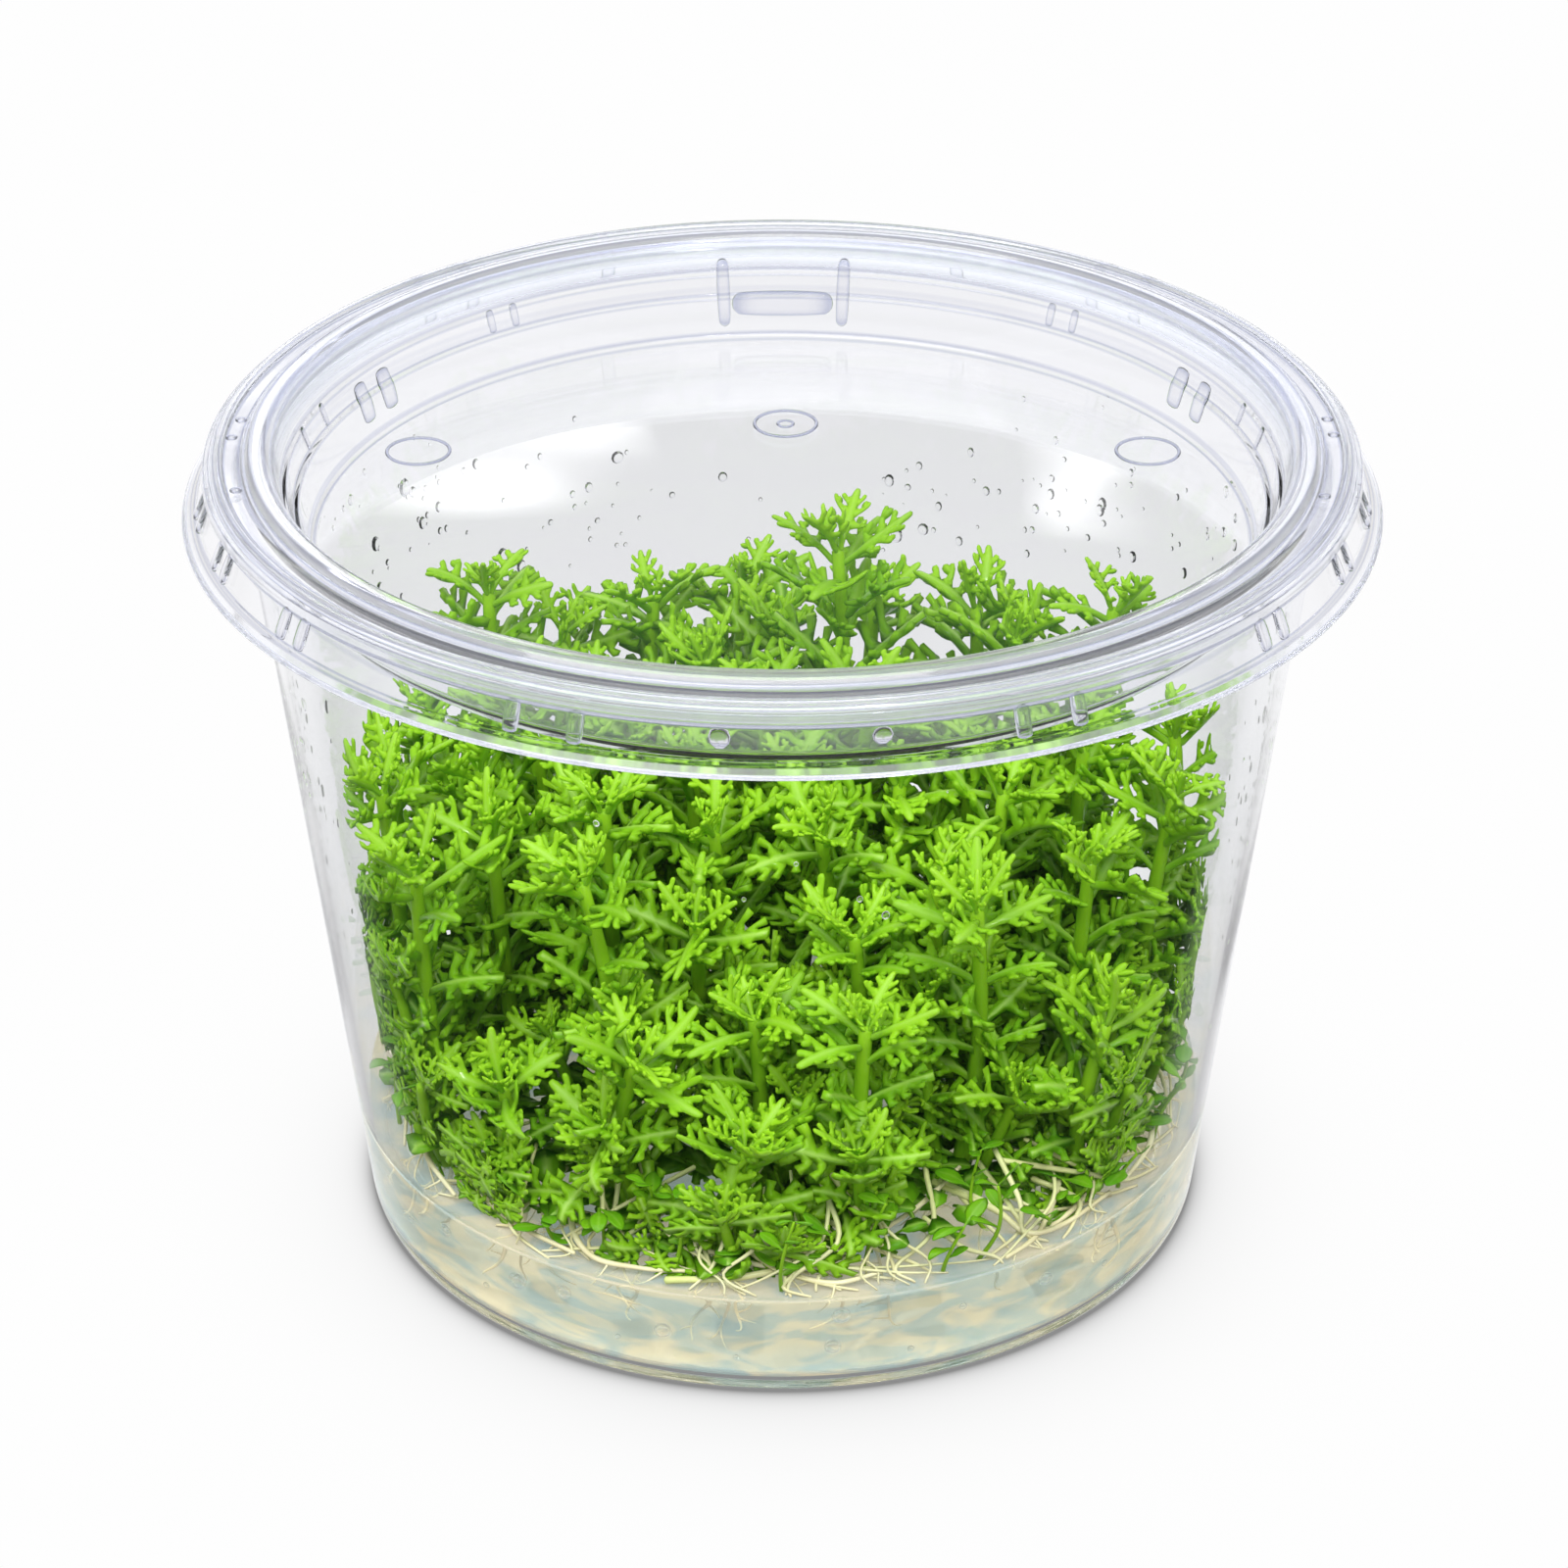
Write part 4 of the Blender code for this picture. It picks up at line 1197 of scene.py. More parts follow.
def make_plantlets(settings):
    """Every plantlet: a main shoot in its CAD solid's place and one or two lower side shoots."""
    material = leaf_material("fleshy_leaf", settings)
    made = []
    lines = [stem_line(name) for name in PLANTLETS]
    tallest = max(tip[2] for _, tip in lines)
    for index, (name, (foot, tip)) in enumerate(zip(PLANTLETS, lines)):
        rng = np.random.default_rng(settings.seed * 1000 + index)
        foot = foot - [0, 0, 1.2 * MM]
        outer = np.hypot(tip[0], tip[1]) > 29 * MM or tip[1] < -18 * MM
        facing = outer and tip[1] < 8 * MM
        shapes = Shapes()
        scale = 1.12 if tip[2] == tallest else rng.uniform(0.92, 1.08)
        grow_shoot(shapes, rng, settings, foot, tip, scale, 0.74 if facing or scale > 1.1 else 0.95)
        for branch in range(3 if outer else 2):
            turn = math.atan2(tip[1], tip[0]) + rng.normal(0, 1.0)
            away = np.array([math.cos(turn), math.sin(turn), 0.0])
            rise = (0.64, 0.42, 0.24)[branch] + rng.uniform(-0.08, 0.08)
            side_foot = foot + away * 1.2 * MM
            side_tip = foot + (tip - foot) * rise + away * rng.uniform(4.0, 7.5) * MM
            side_tip = kept_in_cup(side_tip[None], 1.5 * MM)[0]
            grow_shoot(shapes, rng, settings, side_foot, side_tip, rng.uniform(0.72, 0.95),
                       0.95 if facing and branch < 2 else 2.0, 0.75)
        plantlet = shapes.piece(name.replace("plantlet", "grown_plantlet"), material)
        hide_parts(name)
        made.append(plantlet)
    return made


# Runners, fine roots on the gel and round young leaves

# Pale creeping stems and roots that lie over the gel at the front: points as x, y and height in millimetres
STRANDS = (
    ((-18.4, -24.0, 16.0), (-19.5, -30.0, 12.5), (-17.5, -34.6, 11.2), (-13.0, -36.2, 10.9), (-8.9, -36.8, 11.0)),
    ((-17.0, -24.5, 15.5), (-13.5, -29.5, 13.0), (-9.0, -33.8, 12.2), (-3.5, -36.2, 11.6), (2.5, -37.2, 11.0)),
    ((-10.6, -38.0, 10.8), (-3.0, -37.6, 11.0), (5.6, -34.4, 11.8), (12.0, -30.0, 13.0), (16.5, -25.0, 14.5)),
    ((14.0, -26.0, 13.5), (19.5, -29.0, 12.5), (22.5, -31.5, 11.6), (26.0, -29.5, 11.2), (30.5, -24.0, 11.0)),
    ((26.8, -20.6, 15.0), (25.5, -26.0, 12.8), (23.5, -31.0, 11.2), (20.5, -34.5, 10.8)),
    ((32.2, -15.5, 15.5), (31.0, -20.5, 12.5), (27.0, -27.0, 11.2), (22.7, -31.8, 10.9)),
    ((-30.0, -20.0, 14.0), (-28.0, -25.5, 12.0), (-24.0, -30.0, 11.2), (-19.0, -34.0, 11.0)),
    ((-34.5, -14.0, 13.5), (-33.5, -19.0, 11.8), (-30.5, -24.5, 11.0)),
    ((-5.0, -33.5, 12.8), (-0.5, -37.0, 11.4), (4.5, -38.4, 10.8), (9.0, -37.0, 11.0)),
    ((35.0, -12.0, 14.0), (34.8, -17.0, 12.0), (32.0, -22.0, 11.0)),
)


def smooth_route(points, steps):
    """A smooth curve through the points: the Catmull-Rom cubic of each stretch, evenly stepped."""
    points = np.asarray(points, float)
    padded = np.concatenate([[2 * points[0] - points[1]], points, [2 * points[-1] - points[-2]]])
    at = np.linspace(0, len(points) - 1 - 1e-6, steps)
    k = at.astype(int)
    t = (at - k)[:, None]
    a, b, c, d = padded[k], padded[k + 1], padded[k + 2], padded[k + 3]
    return 0.5 * (2 * b + (c - a) * t + (2 * a - 5 * b + 4 * c - d) * t ** 2 + (3 * b - a - 3 * c + d) * t ** 3)


def make_runners(settings):
    """Creeping stems in the place of their CAD tubes, each with swollen joints and a tuft of short roots."""
    material = stem_material("runner_pale", (0.62, 0.66, 0.22), (0.74, 0.68, 0.40), (0.42, 0.66, 0.06))
    made = []
    for index, name in enumerate(RUNNERS):
        rng = np.random.default_rng(settings.seed * 500 + index)
        points = node_points(name)
        centre = points.mean(0)
        spread = points - centre
        direction = np.linalg.svd(spread, full_matrices=False)[2][0]
        order = np.argsort(spread @ direction)
        groups_of_points = np.array_split(points[order], 6)
        route = np.array([group.mean(0) for group in groups_of_points])
        steps = 30
        path = smooth_route(route, steps)
        t = np.linspace(0, 1, steps)
        thick = 0.46 * MM * (1 + 0.22 * np.exp(-((t - 0.5) / 0.06) ** 2) + 0.05 * np.sin(17 * t))
        shapes = Shapes()
        corners, sizes = tube_faces(steps, 10)
        shapes.add(tubes(path[None], thick[None], 10), corners, sizes, shade=rng.uniform(0, 1),
                   young=spread_rings((0.6 * np.abs(2 * t - 1))[None], 10))
        count = 7
        small = np.linspace(0, 1, 8)[None, :, None]
        turn = rng.uniform(0, math.tau, count)
        heading = np.stack([np.cos(turn), np.sin(turn), 0 * turn], -1)[:, None]
        reach = rng.uniform(1.0, 2.6, count)[:, None, None] * MM
        hairs = (path[rng.integers(steps // 3, 2 * steps // 3, count)][:, None] + heading * reach * small
                 - np.array([0, 0, 1.3 * MM]) * small ** 0.7)
        fine = 0.11 * MM * (1.1 - 0.8 * small[:, :, 0]) + 0 * reach[:, :, 0]
        corners, sizes = tube_faces(8, 5)
        shapes.add(tubes(hairs, fine, 5), corners, sizes, shade=0.2, young=0.0)
        runner = shapes.piece(name.replace("runner", "creeping_runner"), material)
        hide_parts(name)
        made.append(runner)
    return made


def make_strands(settings):
    """Pale strands that trail over the gel from the front plantlets, with threads that leave them."""
    rng = np.random.default_rng(settings.seed * 77)
    material = stem_material("strand_pale", (0.80, 0.78, 0.50), (0.70, 0.62, 0.34), (0.55, 0.68, 0.16))
    shapes = Shapes()
    steps, sides = 36, 8
    t = np.linspace(0, 1, steps)
    corners, sizes = tube_faces(steps, sides)
    small_corners, small_sizes = tube_faces(9, 5)
    small = np.linspace(0, 1, 9)[None, :, None]
    for index, route in enumerate(STRANDS):
        path = kept_in_cup(smooth_route(np.array(route) * MM, steps), 0.8 * MM, 1.0 * MM)
        thick = 0.36 * MM * (1.0 - 0.45 * t) * (1 + 0.06 * np.sin(23 * t + index))
        shapes.add(tubes(path[None], thick[None], sides), corners, sizes, shade=rng.uniform(0, 1),
                   young=spread_rings(np.clip(0.7 - 1.6 * t, 0, 1)[None], sides))
        count = 6
        turn = rng.uniform(0, math.tau, count)
        heading = np.stack([np.cos(turn), np.sin(turn), 0 * turn], -1)[:, None]
        reach = rng.uniform(1.5, 4.5, count)[:, None, None] * MM
        threads = path[rng.integers(4, steps - 2, count)][:, None] + heading * reach * small
        threads[..., 2] += (GEL_HIGH.z - 0.4 * MM - threads[:, :1, 2]) * small[..., 0] ** 0.8
        threads = kept_in_cup(threads, 0.8 * MM, 1.0 * MM)
        fine = 0.12 * MM * (1.1 - 0.7 * small[:, :, 0]) + 0 * reach[:, :, 0]
        shapes.add(tubes(threads, fine, 5), small_corners, small_sizes, shade=0.2, young=0.0)
    count = 72
    angle = np.concatenate([rng.normal(-math.pi / 2, 0.75, 44), rng.uniform(0, math.tau, count - 44)])
    drift = rng.normal(0, 0.16, count)
    heights = rng.uniform(12.0, 18.5, count)
    radii = rng.uniform(29.0, 34.5, count)
    share = np.array([0.0, 0.35, 0.7, 1.0])
    bearing = angle[:, None] + drift[:, None] * share * 1.6 + rng.normal(0, 0.03, (count, 4))
    distance = radii[:, None] + (rng.uniform(38.0, 40.2, (count, 1)) - radii[:, None]) * share ** 0.4
    level = GEL_HIGH.z / MM + 0.25 + (heights[:, None] - GEL_HIGH.z / MM) * (1 - share) ** 1.3
    knots = np.stack([distance * np.cos(bearing), distance * np.sin(bearing), level], -1) * MM
    paths = np.stack([smooth_route(each, 18) for each in knots])
    fine = rng.uniform(0.15, 0.32, (count, 1)) * MM * (1.1 - 0.6 * np.linspace(0, 1, 18))
    small_corners, small_sizes = tube_faces(18, 5)
    shapes.add(tubes(kept_in_cup(paths, 0.8 * MM, 1.0 * MM), fine, 5), small_corners, small_sizes,
               shade=rng.uniform(0, 1, (count, 1)), young=spread_rings(0 * fine + np.linspace(0.5, 0, 18), 5))
    strands = shapes.piece("pale_strands", material)
    return strands


def round_leaf(rng, count):
    """Small oval leaves of unit length: five stations of four points, wide in the middle."""
    x = np.array([0.0, 0.22, 0.42, 0.72, 0.97])
    width = np.array([0.05, 0.06, 0.34, 0.36, 0.10])[None] * rng.uniform(0.85, 1.15, (count, 1))
    thick = np.array([0.04, 0.045, 0.06, 0.055, 0.02])
    points = np.zeros((count, 5, 4, 3))
    points[..., 0] = x[None, :, None]
    points[:, :, 0, 1], points[:, :, 2, 1] = width, -width
    points[:, :, 1, 2], points[:, :, 3, 2] = thick, -thick
    return points.reshape(count, 20, 3), np.repeat(x, 4), np.tile([1.0, 0.0, 1.0, 0.0], 5)


def make_young_leaves(settings):
    """Thin sprigs low by the wall with a few small oval leaves each, and loose ones over the whole gel."""
    rng = np.random.default_rng(settings.seed * 31)
    material = leaf_material("oval_leaf", settings)
    faces = [[0, 3, 2, 1]]
    for a in range(0, 16, 4):
        for k in range(4):
            faces.append([a + k, a + (k + 1) % 4, a + 4 + (k + 1) % 4, a + 4 + k])
    faces.append([16, 17, 18, 19])
    corners = np.concatenate([np.array(face) for face in faces])
    sizes = np.array([len(face) for face in faces])
    count = 52
    angle = np.linspace(0, math.tau, count, endpoint=False) + rng.normal(0, 0.03, count)
    reach = rng.uniform(33.5, 39.0, count) * MM
    foot = np.stack([reach * np.cos(angle), reach * np.sin(angle), np.full(count, GEL_HIGH.z - 0.3 * MM)], -1)
    rise = rng.uniform(3.5, 11.0, count) * MM
    lean = np.stack([np.cos(angle), np.sin(angle), 0 * angle], -1) * rng.uniform(0.0, 3.0, count)[:, None] * MM
    top = foot + lean + np.stack([rng.normal(0, 1.5, count) * MM, rng.normal(0, 1.5, count) * MM, rise], -1)
    t = np.linspace(0, 1, 10)[None, :, None]
    path = foot[:, None] + (top - foot)[:, None] * t + np.sin(math.pi * t) * rng.normal(0, 0.7, (count, 1, 3)) * MM
    path = kept_in_cup(path, 0.6 * MM, 1.2 * MM)
    shapes = Shapes()
    stem_corners, stem_sizes = tube_faces(10, 5)
    thick = 0.24 * MM * (1.0 - 0.4 * t[:, :, 0]) + np.zeros((count, 1))
    shapes.add(tubes(path, thick, 5), stem_corners, stem_sizes, along=0.3, across=0.5, shade=0.2, young=0.8)
    per = 5
    rows = np.repeat(np.arange(count), per)
    spot = np.tile(np.array([4, 6, 7, 9, 9]), count)
    base = path[rows, spot]
    turn = rng.uniform(0, math.tau, len(rows))
    raised = rng.uniform(0.0, 0.9, len(rows))
    forward = np.stack([np.cos(turn) * np.cos(raised), np.sin(turn) * np.cos(raised), np.sin(raised)], -1)
    upward = np.stack([-np.cos(turn) * np.sin(raised), -np.sin(turn) * np.sin(raised), np.cos(raised)], -1)
    length = rng.uniform(2.0, 3.9, len(rows)) * MM
    flat, along, across = round_leaf(rng, len(rows))
    cage_corners, cage_sizes = corners, sizes
    weights, corners, sizes = refined(corners, sizes, 20)
    flat = np.einsum("fc,kcj->kfj", weights, flat)
    along, across = weights @ along, weights @ across
    curved = bent(flat, rng.normal(0.4, 0.3, len(rows)), rng.normal(0.5, 0.4, len(rows)), rng.normal(0, 0.1, len(rows)))
    points = rest_on_gel(kept_in_cup(placed(curved, base, forward, upward, length), 0.4 * MM, 1.2 * MM))
    # Painted shade: these low leaves take the darker half of the shade range, as if shaded by the plantlets over them
    shapes.add(points, corners, sizes, along=along, across=across * 0.7,
               shade=rng.uniform(0.5, 1.0, len(rows))[:, None], young=0.0)
    count = 560
    reach = 37.0 * MM * np.sqrt(rng.uniform(0.02, 1.0, count))
    turn = rng.uniform(0, math.tau, count)
    base = np.stack([reach * np.cos(turn), reach * np.sin(turn),
                     GEL_HIGH.z + rng.uniform(0.3, 3.6, count) * MM], -1)
    turn, raised = rng.uniform(0, math.tau, count), rng.uniform(0.1, 1.0, count)
    forward = np.stack([np.cos(turn) * np.cos(raised), np.sin(turn) * np.cos(raised), np.sin(raised)], -1)
    upward = np.stack([-np.cos(turn) * np.sin(raised), -np.sin(turn) * np.sin(raised), np.cos(raised)], -1)
    flat, along, across = round_leaf(rng, count)
    curved = bent(flat, rng.normal(0.5, 0.3, count), rng.normal(0.5, 0.4, count), rng.normal(0, 0.15, count))
    points = placed(curved, base, forward, upward, rng.uniform(3.0, 5.2, count) * MM)
    points = rest_on_gel(kept_in_cup(points, 0.8 * MM, 1.2 * MM))
    # Painted shade: the loose leaves low among the plantlets are darker still, to fill the gaps with shade
    shapes.add(points, cage_corners, cage_sizes, along=along, across=across * 0.7,
               shade=rng.uniform(0.6, 1.0, (count, 1)), young=0.0)
    leaves = shapes.piece("oval_young_leaves", material)
    return leaves


# Water drops

# Patches of condensation on the inside of the wall: angle from the front, its spread, height, spread, count
DROP_PATCHES = (
    (-80.0, 7.0, 56.0, 6.5, 70), (81.0, 7.0, 56.0, 6.5, 64), (-112.0, 7.0, 60.0, 3.0, 22),
    (-131.0, 9.0, 56.0, 3.2, 34), (-155.0, 10.0, 50.0, 3.2, 30), (139.0, 8.0, 53.0, 3.6, 34),
    (157.0, 7.0, 49.0, 3.4, 24), (113.0, 9.0, 58.0, 3.6, 18), (-85.0, 8.0, 40.0, 7.0, 28),
    (84.0, 8.0, 40.0, 8.0, 30), (0.0, 40.0, 60.0, 5.0, 10),
)
BIG_DROPS = ((-6.2, 72.6, 0.95), (9.9, 72.6, 0.9), (-83.0, 64.0, 0.9), (-74.0, 58.0, 0.8), (82.0, 62.0, 0.9))


def make_drops():
    """Condensation on the inside of the wall: flat domes, taller than wide where they have begun to run.

    A dome is radius (sin p cos a, sin p sin a) in the wall's plane and 0.34 radius cos p inward, on a flat
    back that lies just off the wall.
    """
    rng = np.random.default_rng(21)
    angle, height, size = [], [], []
    for centre, spread, level, band, count in DROP_PATCHES:
        angle.append(rng.normal(centre, spread, count))
        height.append(rng.normal(level, band, count))
        size.append(np.clip(rng.lognormal(-1.40, 0.48, count), 0.10, 0.75))
    big = np.array(BIG_DROPS)
    angle = np.radians(np.concatenate(angle + [big[:, 0]]))
    height = np.concatenate([np.clip(np.concatenate(height), 20.0, 66.0), big[:, 1]]) * MM
    size = np.concatenate(size + [big[:, 2]]) * MM
    polar = np.radians([20, 46, 70, 86, 90])
    around = np.arange(10) * math.tau / 10
    wide = np.outer(np.sin(polar), np.cos(around))
    tall = np.outer(np.sin(polar), np.sin(around))
    deep = np.repeat(np.cos(polar)[:, None], 10, 1)
    unit = np.stack([wide, tall, deep], -1).reshape(-1, 3)
    unit = np.concatenate([unit, [[0, 0, 1.0]], [[0, 0, 0.0]]])
    stretch = rng.uniform(1.0, 1.45, len(size))
    local = unit[None] * np.stack([size, size * stretch, 0.34 * size], -1)[:, None]
    gap = 0.03 * MM
    level = height[:, None] + local[..., 1]
    radius = wall_inside(level) - gap - local[..., 2]
    turn = angle[:, None] + local[..., 0] / radius
    points = np.stack([radius * np.sin(turn), -radius * np.cos(turn), level], -1)
    index = np.arange(50).reshape(5, 10)
    after = np.roll(index, -1, 1)
    quads = np.stack([index[:-1], index[1:], after[1:], after[:-1]], -1).reshape(-1)
    cap = np.stack([np.full(10, 50), index[0], after[0]], -1).reshape(-1)
    back = np.stack([index[-1], np.full(10, 51), after[-1]], -1).reshape(-1)
    corners = np.concatenate([quads, cap, back])[::-1]
    sizes = np.concatenate([np.full(20, 3), np.full(40, 4)])
    shapes = Shapes()
    shapes.add(points, corners, sizes)
    drops = shapes.piece("water_drops", water_material("condensed_water", 1.333))
    see_through(drops)
    return drops


# Stage

def soft_light(name, place, aim, size, radiance, colour=(1.0, 1.0, 1.0)):
    """A soft lamp of so many metres that looks at a point and glows with so much light from each place."""
    data = bpy.data.lights.new(name, "AREA")
    data.shape = "RECTANGLE"
    data.size, data.size_y = size
    data.energy = radiance * math.pi * size[0] * size[1]
    data.color = colour
    lamp = bpy.data.objects.new(name, data)
    bpy.context.scene.collection.objects.link(lamp)
    lamp.location = place
    x, y, z = np.array(aim) - np.array(place)
    lamp.rotation_euler = (math.atan2(math.hypot(x, y), -z), 0.0, math.atan2(-x, y))
    lamp.visible_transmission = False
    return lamp


def sky_ramp(tree, height, stops):
    """A colour that depends on the direction's height, from -1 straight down to 1 straight up."""
    ramp = tree.nodes.new("ShaderNodeValToRGB")
    elements = ramp.color_ramp.elements
    for index, (position, colour) in enumerate(stops):
        stop = elements[index] if index < 2 else elements.new(1.0)
        stop.position = 0.5 + 0.5 * position
        stop.color = (*colour, 1.0)
    link(tree, height, ramp.inputs[0])
    return ramp.outputs[0]


def near_mirror(tree):
    """One where the ray that looks has been reflected once and bent at most twice, else nought."""
    sight = tree.nodes.new("ShaderNodeLightPath").outputs
    once = math_node(tree, "MULTIPLY", math_node(tree, "GREATER_THAN", sight["Glossy Depth"], 0.5),
                     math_node(tree, "LESS_THAN", sight["Glossy Depth"], 1.5))
    return math_node(tree, "MULTIPLY", once, math_node(tree, "LESS_THAN", sight["Transmission Depth"], 2.5))


# Bright panes behind the cup that the lid's panel mirrors: least and most sideways and upward slope
MIRRORED_PANES = ((-0.115, -0.040, 0.380, 0.470), (0.066, 0.080, 0.380, 0.482))


def soft_pane(tree, slope, low, high, edge=0.008):
    """One between two slopes, easing to nought over a soft edge."""
    return math_node(tree, "MULTIPLY", map_range(tree, slope, low - edge, low + edge),
                     map_range(tree, slope, high + edge, high - edge))


def make_world():
    """A light tent. What the plastic bends is white behind and lavender low at the sides, what it mirrors
    is dim low in front and in one place behind, and what lights the plants is strongest overhead."""
    world = bpy.data.worlds.new("light_tent")
    bpy.context.scene.world = world
    world.use_nodes = True
    tree = world.node_tree
    back = tree.nodes["Background"]
    parts = tree.nodes.new("ShaderNodeSeparateXYZ")
    link(tree, tree.nodes.new("ShaderNodeTexCoord").outputs["Generated"], parts.inputs[0])
    height = map_range(tree, parts.outputs[2], -1.0, 1.0)
    lighting = sky_ramp(tree, height, ((-0.1, (0.26, 0.26, 0.26)), (1.0, (1.35, 1.35, 1.35)),
                                       (0.1, (0.60, 0.60, 0.60)), (0.6, (1.35, 1.35, 1.35))))
    white = sky_ramp(tree, height, ((-0.2, (0.93, 0.93, 0.95)), (1.0, (1.0, 1.0, 1.0)),
                                    (0.0, (0.86, 0.86, 0.90))))
    lavender = sky_ramp(tree, height, ((-0.2, (0.90, 0.90, 0.94)), (1.0, (1.0, 1.0, 1.0)),
                                       (0.0, (0.72, 0.73, 0.83)), (0.3, (0.70, 0.72, 0.83)),
                                       (0.6, (0.97, 0.98, 1.0))))
    bent_light = mix_colour(tree, map_range(tree, parts.outputs[1], -0.1, 0.5), lavender, white)
    x, y, z = parts.outputs
    overhead = map_range(tree, z, 0.72, 0.9)
    low_back = math_node(tree, "MULTIPLY", map_range(tree, y, 0.38, 0.62), map_range(tree, z, 0.1, -0.05))
    sideways = map_range(tree, math_node(tree, "ABSOLUTE", x), 0.80, 0.9)
    bright = math_node(tree, "MAXIMUM", overhead, math_node(tree, "MAXIMUM", low_back, sideways))
    dim = mix_colour(tree, map_range(tree, y, 0.5, 0.8), (0.03, 0.03, 0.035), (0.12, 0.12, 0.13))
    mirrored = mix_colour(tree, bright, dim, bent_light)
    for low_u, high_u, low_v, high_v in MIRRORED_PANES:
        pane = soft_pane(tree, math_node(tree, "DIVIDE", x, y), low_u, high_u)
        pane = math_node(tree, "MULTIPLY", pane, soft_pane(tree, math_node(tree, "DIVIDE", z, y), low_v, high_v))
        pane = math_node(tree, "MULTIPLY", pane, math_node(tree, "GREATER_THAN", y, 0.1))
        mirrored = mix_colour(tree, pane, mirrored, (3.4, 3.4, 3.44))
    seen = mix_colour(tree, near_mirror(tree), bent_light, mirrored)
    sight = tree.nodes.new("ShaderNodeLightPath").outputs
    colour = mix_colour(tree, sight["Is Glossy Ray"], lighting, seen)
    link(tree, mix_colour(tree, sight["Is Camera Ray"], colour, (0.992, 0.992, 0.992)), back.inputs["Color"])
    back.inputs["Strength"].default_value = 1.0
    return world


# The painted contact shadow on the floor round the cup's foot: share and reach of the close and the wide painted shade,
# and how far the wide one's middle lies to the right and in front
CLOSE_SHADE = (0.60, 0.8 * MM)
WIDE_SHADE = (0.13, 5.5 * MM)
SHADE_SHIFT = (0.9 * MM, -1.6 * MM, 0.0)


def floor_material():
    """White sweep that glows evenly, with a painted contact shadow, a soft grey close round the cup's foot."""
    material, tree, shader = principled("pale_floor")
    place = tree.nodes.new("ShaderNodeTexCoord").outputs["Object"]
    shade = None
    # Painted shadow: a close and a wide grey that fade out from the foot's edge
    for (share, reach), shift in ((CLOSE_SHADE, (0.0, 0.0, 0.0)), (WIDE_SHADE, SHADE_SHIFT)):
        distance = tree.nodes.new("ShaderNodeVectorMath")
        distance.operation = "DISTANCE"
        link(tree, place, distance.inputs[0])
        distance.inputs[1].default_value = shift
        beyond = math_node(tree, "SUBTRACT", distance.outputs["Value"], FOOT_RADIUS)
        fall = math_node(tree, "EXPONENT", math_node(tree, "MULTIPLY", math_node(tree, "MAXIMUM", beyond, 0.0),
                                                     -1.0 / reach))
        grey = math_node(tree, "MULTIPLY", fall, share)
        shade = grey if shade is None else math_node(tree, "ADD", shade, grey)
    grain = map_range(tree, noise(tree, 9.0, 2.0, 0.5, place), 0.3, 0.7, 0.0, 0.003)
    shade = math_node(tree, "ADD", shade, grain, clamp=True)
    glow = mix_colour(tree, shade, (0.992, 0.992, 0.992), (0.0, 0.0, 0.0))
    # Painted light for rays other than the camera's: seen through the plastic, the far floor is painted a lavender
    # grey; mirrored once in the cup's front, the floor close in front is painted near black, a painted dark reflection;
    # diffuse rays see a plain grey
    ahead = tree.nodes.new("ShaderNodeSeparateXYZ")
    link(tree, place, ahead.inputs[0])
    far = map_range(tree, distance.outputs["Value"], 0.45, 0.8)
    camera_ray = tree.nodes.new("ShaderNodeLightPath").outputs["Is Camera Ray"]
    far = math_node(tree, "MULTIPLY", far, math_node(tree, "SUBTRACT", 1.0, camera_ray))
    glow = mix_colour(tree, far, glow, (0.84, 0.85, 0.90))
    in_front = map_range(tree, ahead.outputs[1], 0.09, 0.03)
    glow = mix_colour(tree, math_node(tree, "MULTIPLY", near_mirror(tree), in_front), glow, (0.02, 0.02, 0.02))
    diffuse = tree.nodes.new("ShaderNodeLightPath").outputs["Is Diffuse Ray"]
    link(tree, mix_colour(tree, diffuse, glow, (0.38, 0.38, 0.38)), shader.inputs["Emission Color"])
    shader.inputs["Emission Strength"].default_value = 1.0
    shader.inputs["Base Color"].default_value = (0.0, 0.0, 0.0, 1.0)
    shader.inputs["Roughness"].default_value = 1.0
    shader.inputs["Specular IOR Level"].default_value = 0.0
    material.cycles.emission_sampling = "NONE"
    return material


def make_stage(settings):
    """Pale floor, soft studio light and the camera at the photograph's angle."""
    half = 3.0
    mesh = bpy.data.meshes.new("floor")
    mesh.from_pydata([(-half, -half, 0), (half, -half, 0), (half, half, 0), (-half, half, 0)], [], [(0, 1, 2, 3)])
    mesh.materials.append(floor_material())
    floor = bpy.data.objects.new("floor", mesh)
    floor.location.z = -0.00005
    floor.visible_glossy = False
    bpy.context.scene.collection.objects.link(floor)
    make_world()
    aim = (0.0, 0.0, 0.04)
    soft_light("key_softbox", (-0.12, -0.38, 0.76), aim, (0.9, 0.5), 5.2)
    soft_light("sparkle_lamp", (0.16, -0.46, 0.56), aim, (0.06, 0.06), 60.0)
    camera_data = bpy.data.cameras.new("photo_camera")
    camera = bpy.data.objects.new("photo_camera", camera_data)
    bpy.context.scene.collection.objects.link(camera)
    camera_data.sensor_width = 36.0
    camera_data.lens = settings.lens
    camera_data.shift_x = settings.shift
    camera.location = (0.0, -settings.distance * math.cos(settings.elevation),
                       settings.target + settings.distance * math.sin(settings.elevation))
    camera.rotation_euler = (math.pi / 2 - settings.elevation, 0.0, 0.0)
    scene = bpy.context.scene
    scene.camera = camera
    scene.view_settings.view_transform = "Standard"
    scene.view_settings.look = "None"
    scene.cycles.caustics_refractive = False
    scene.cycles.caustics_reflective = False
    scene.cycles.max_bounces = 16
    scene.cycles.transmission_bounces = 16
    scene.cycles.glossy_bounces = 12
    scene.cycles.diffuse_bounces = 3
    return floor


# Operators

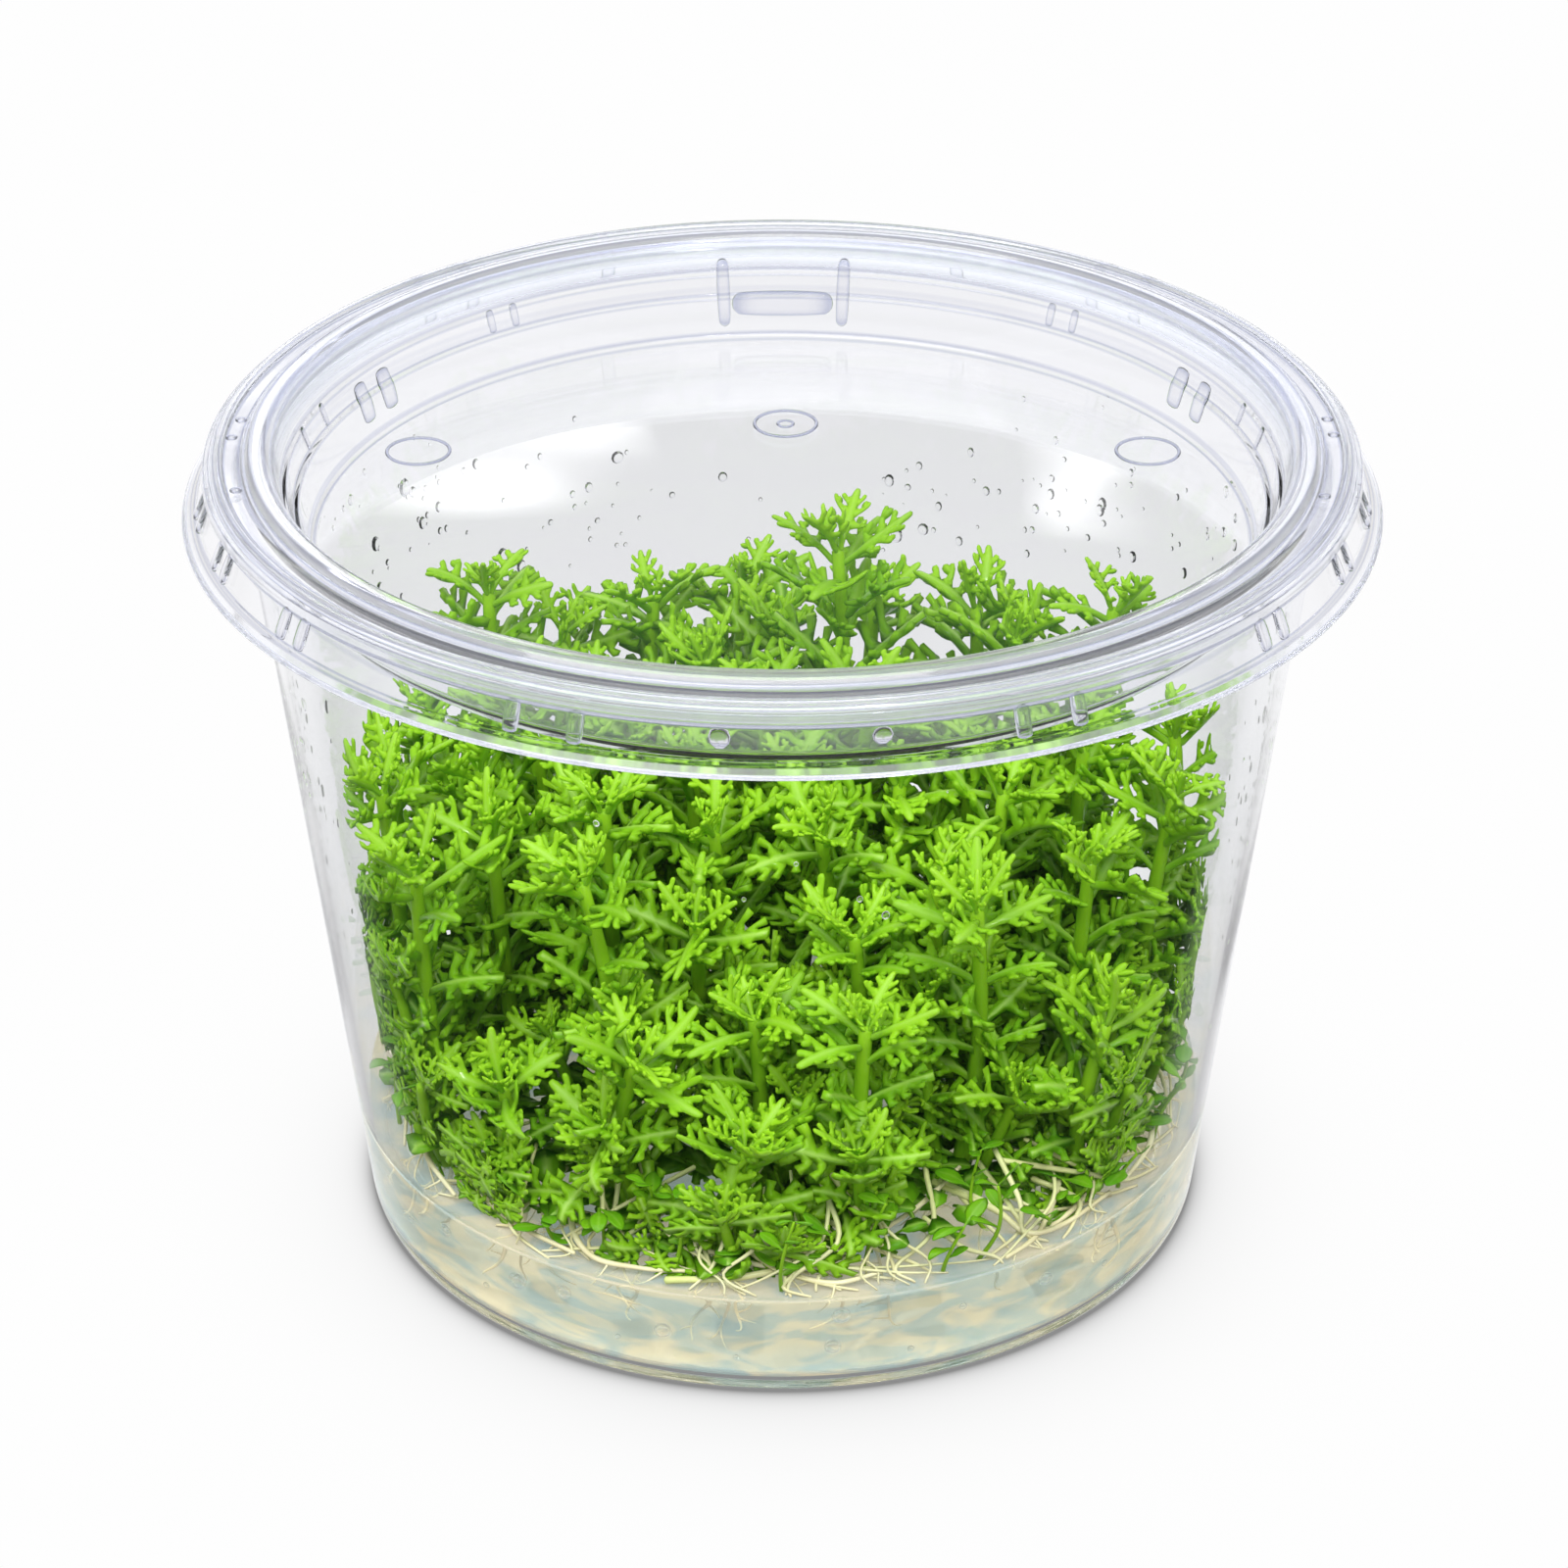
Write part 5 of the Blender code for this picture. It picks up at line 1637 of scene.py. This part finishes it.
class HEDGE_OT_cup(Operator):
    """Make the clear cup and its lid"""
    bl_idname = "hedge.cup"
    bl_label = "Cup and Lid"

    def execute(self, context):
        make_cup(context.scene.hedge_cup)
        make_lid(context.scene.hedge_cup)
        return {"FINISHED"}


class HEDGE_OT_gel(Operator):
    """Make the gel with its bubbles and the roots in it"""
    bl_idname = "hedge.gel"
    bl_label = "Gel and Roots"

    def execute(self, context):
        make_gel(context.scene.hedge_gel)
        make_roots(context.scene.hedge_gel)
        return {"FINISHED"}


class HEDGE_OT_plantlets(Operator):
    """Grow the plantlets in the places of their solids"""
    bl_idname = "hedge.plantlets"
    bl_label = "Plantlets"

    def execute(self, context):
        make_plantlets(context.scene.hedge_plants)
        return {"FINISHED"}


class HEDGE_OT_runners(Operator):
    """Make the runners and the pale strands on the gel"""
    bl_idname = "hedge.runners"
    bl_label = "Runners and Strands"

    def execute(self, context):
        make_runners(context.scene.hedge_plants)
        make_strands(context.scene.hedge_plants)
        return {"FINISHED"}


class HEDGE_OT_young_leaves(Operator):
    """Make the small oval leaves low by the wall"""
    bl_idname = "hedge.young_leaves"
    bl_label = "Young Leaves"

    def execute(self, context):
        make_young_leaves(context.scene.hedge_plants)
        return {"FINISHED"}


class HEDGE_OT_drops(Operator):
    """Make the condensation on the cup's inside"""
    bl_idname = "hedge.drops"
    bl_label = "Water Drops"

    def execute(self, context):
        make_drops()
        return {"FINISHED"}


class HEDGE_OT_stage(Operator):
    """Set up the floor, the light and the camera"""
    bl_idname = "hedge.stage"
    bl_label = "Stage"

    def execute(self, context):
        make_stage(context.scene.hedge_stage)
        return {"FINISHED"}


class HEDGE_PT_panel(Panel):
    """Lists the pieces and their settings"""
    bl_label = "Culture Cup"
    bl_space_type = "VIEW_3D"
    bl_region_type = "UI"
    bl_category = "Culture Cup"

    def draw(self, context):
        layout = self.layout
        for made in STEPS:
            layout.operator(made.bl_idname)
        for key in SETTINGS:
            box = layout.box()
            settings = getattr(context.scene, key)
            for name in settings.__annotations__:
                box.prop(settings, name)


STEPS = (HEDGE_OT_cup, HEDGE_OT_gel, HEDGE_OT_plantlets, HEDGE_OT_runners, HEDGE_OT_young_leaves,
         HEDGE_OT_drops, HEDGE_OT_stage)
SETTINGS = {"hedge_cup": CupSettings, "hedge_gel": GelSettings, "hedge_plants": PlantSettings,
            "hedge_stage": StageSettings}


def register():
    for made in (*SETTINGS.values(), *STEPS, HEDGE_PT_panel):
        bpy.utils.register_class(made)
    for key, made in SETTINGS.items():
        setattr(bpy.types.Scene, key, PointerProperty(type=made))


def unregister():
    for key in SETTINGS:
        delattr(bpy.types.Scene, key)
    for made in reversed((*SETTINGS.values(), *STEPS, HEDGE_PT_panel)):
        bpy.utils.unregister_class(made)


def main():
    register()
    bpy.ops.hedge.cup()
    bpy.ops.hedge.gel()
    bpy.ops.hedge.plantlets()
    bpy.ops.hedge.runners()
    bpy.ops.hedge.young_leaves()
    bpy.ops.hedge.drops()
    bpy.ops.hedge.stage()


if __name__ == "__main__":
    main()
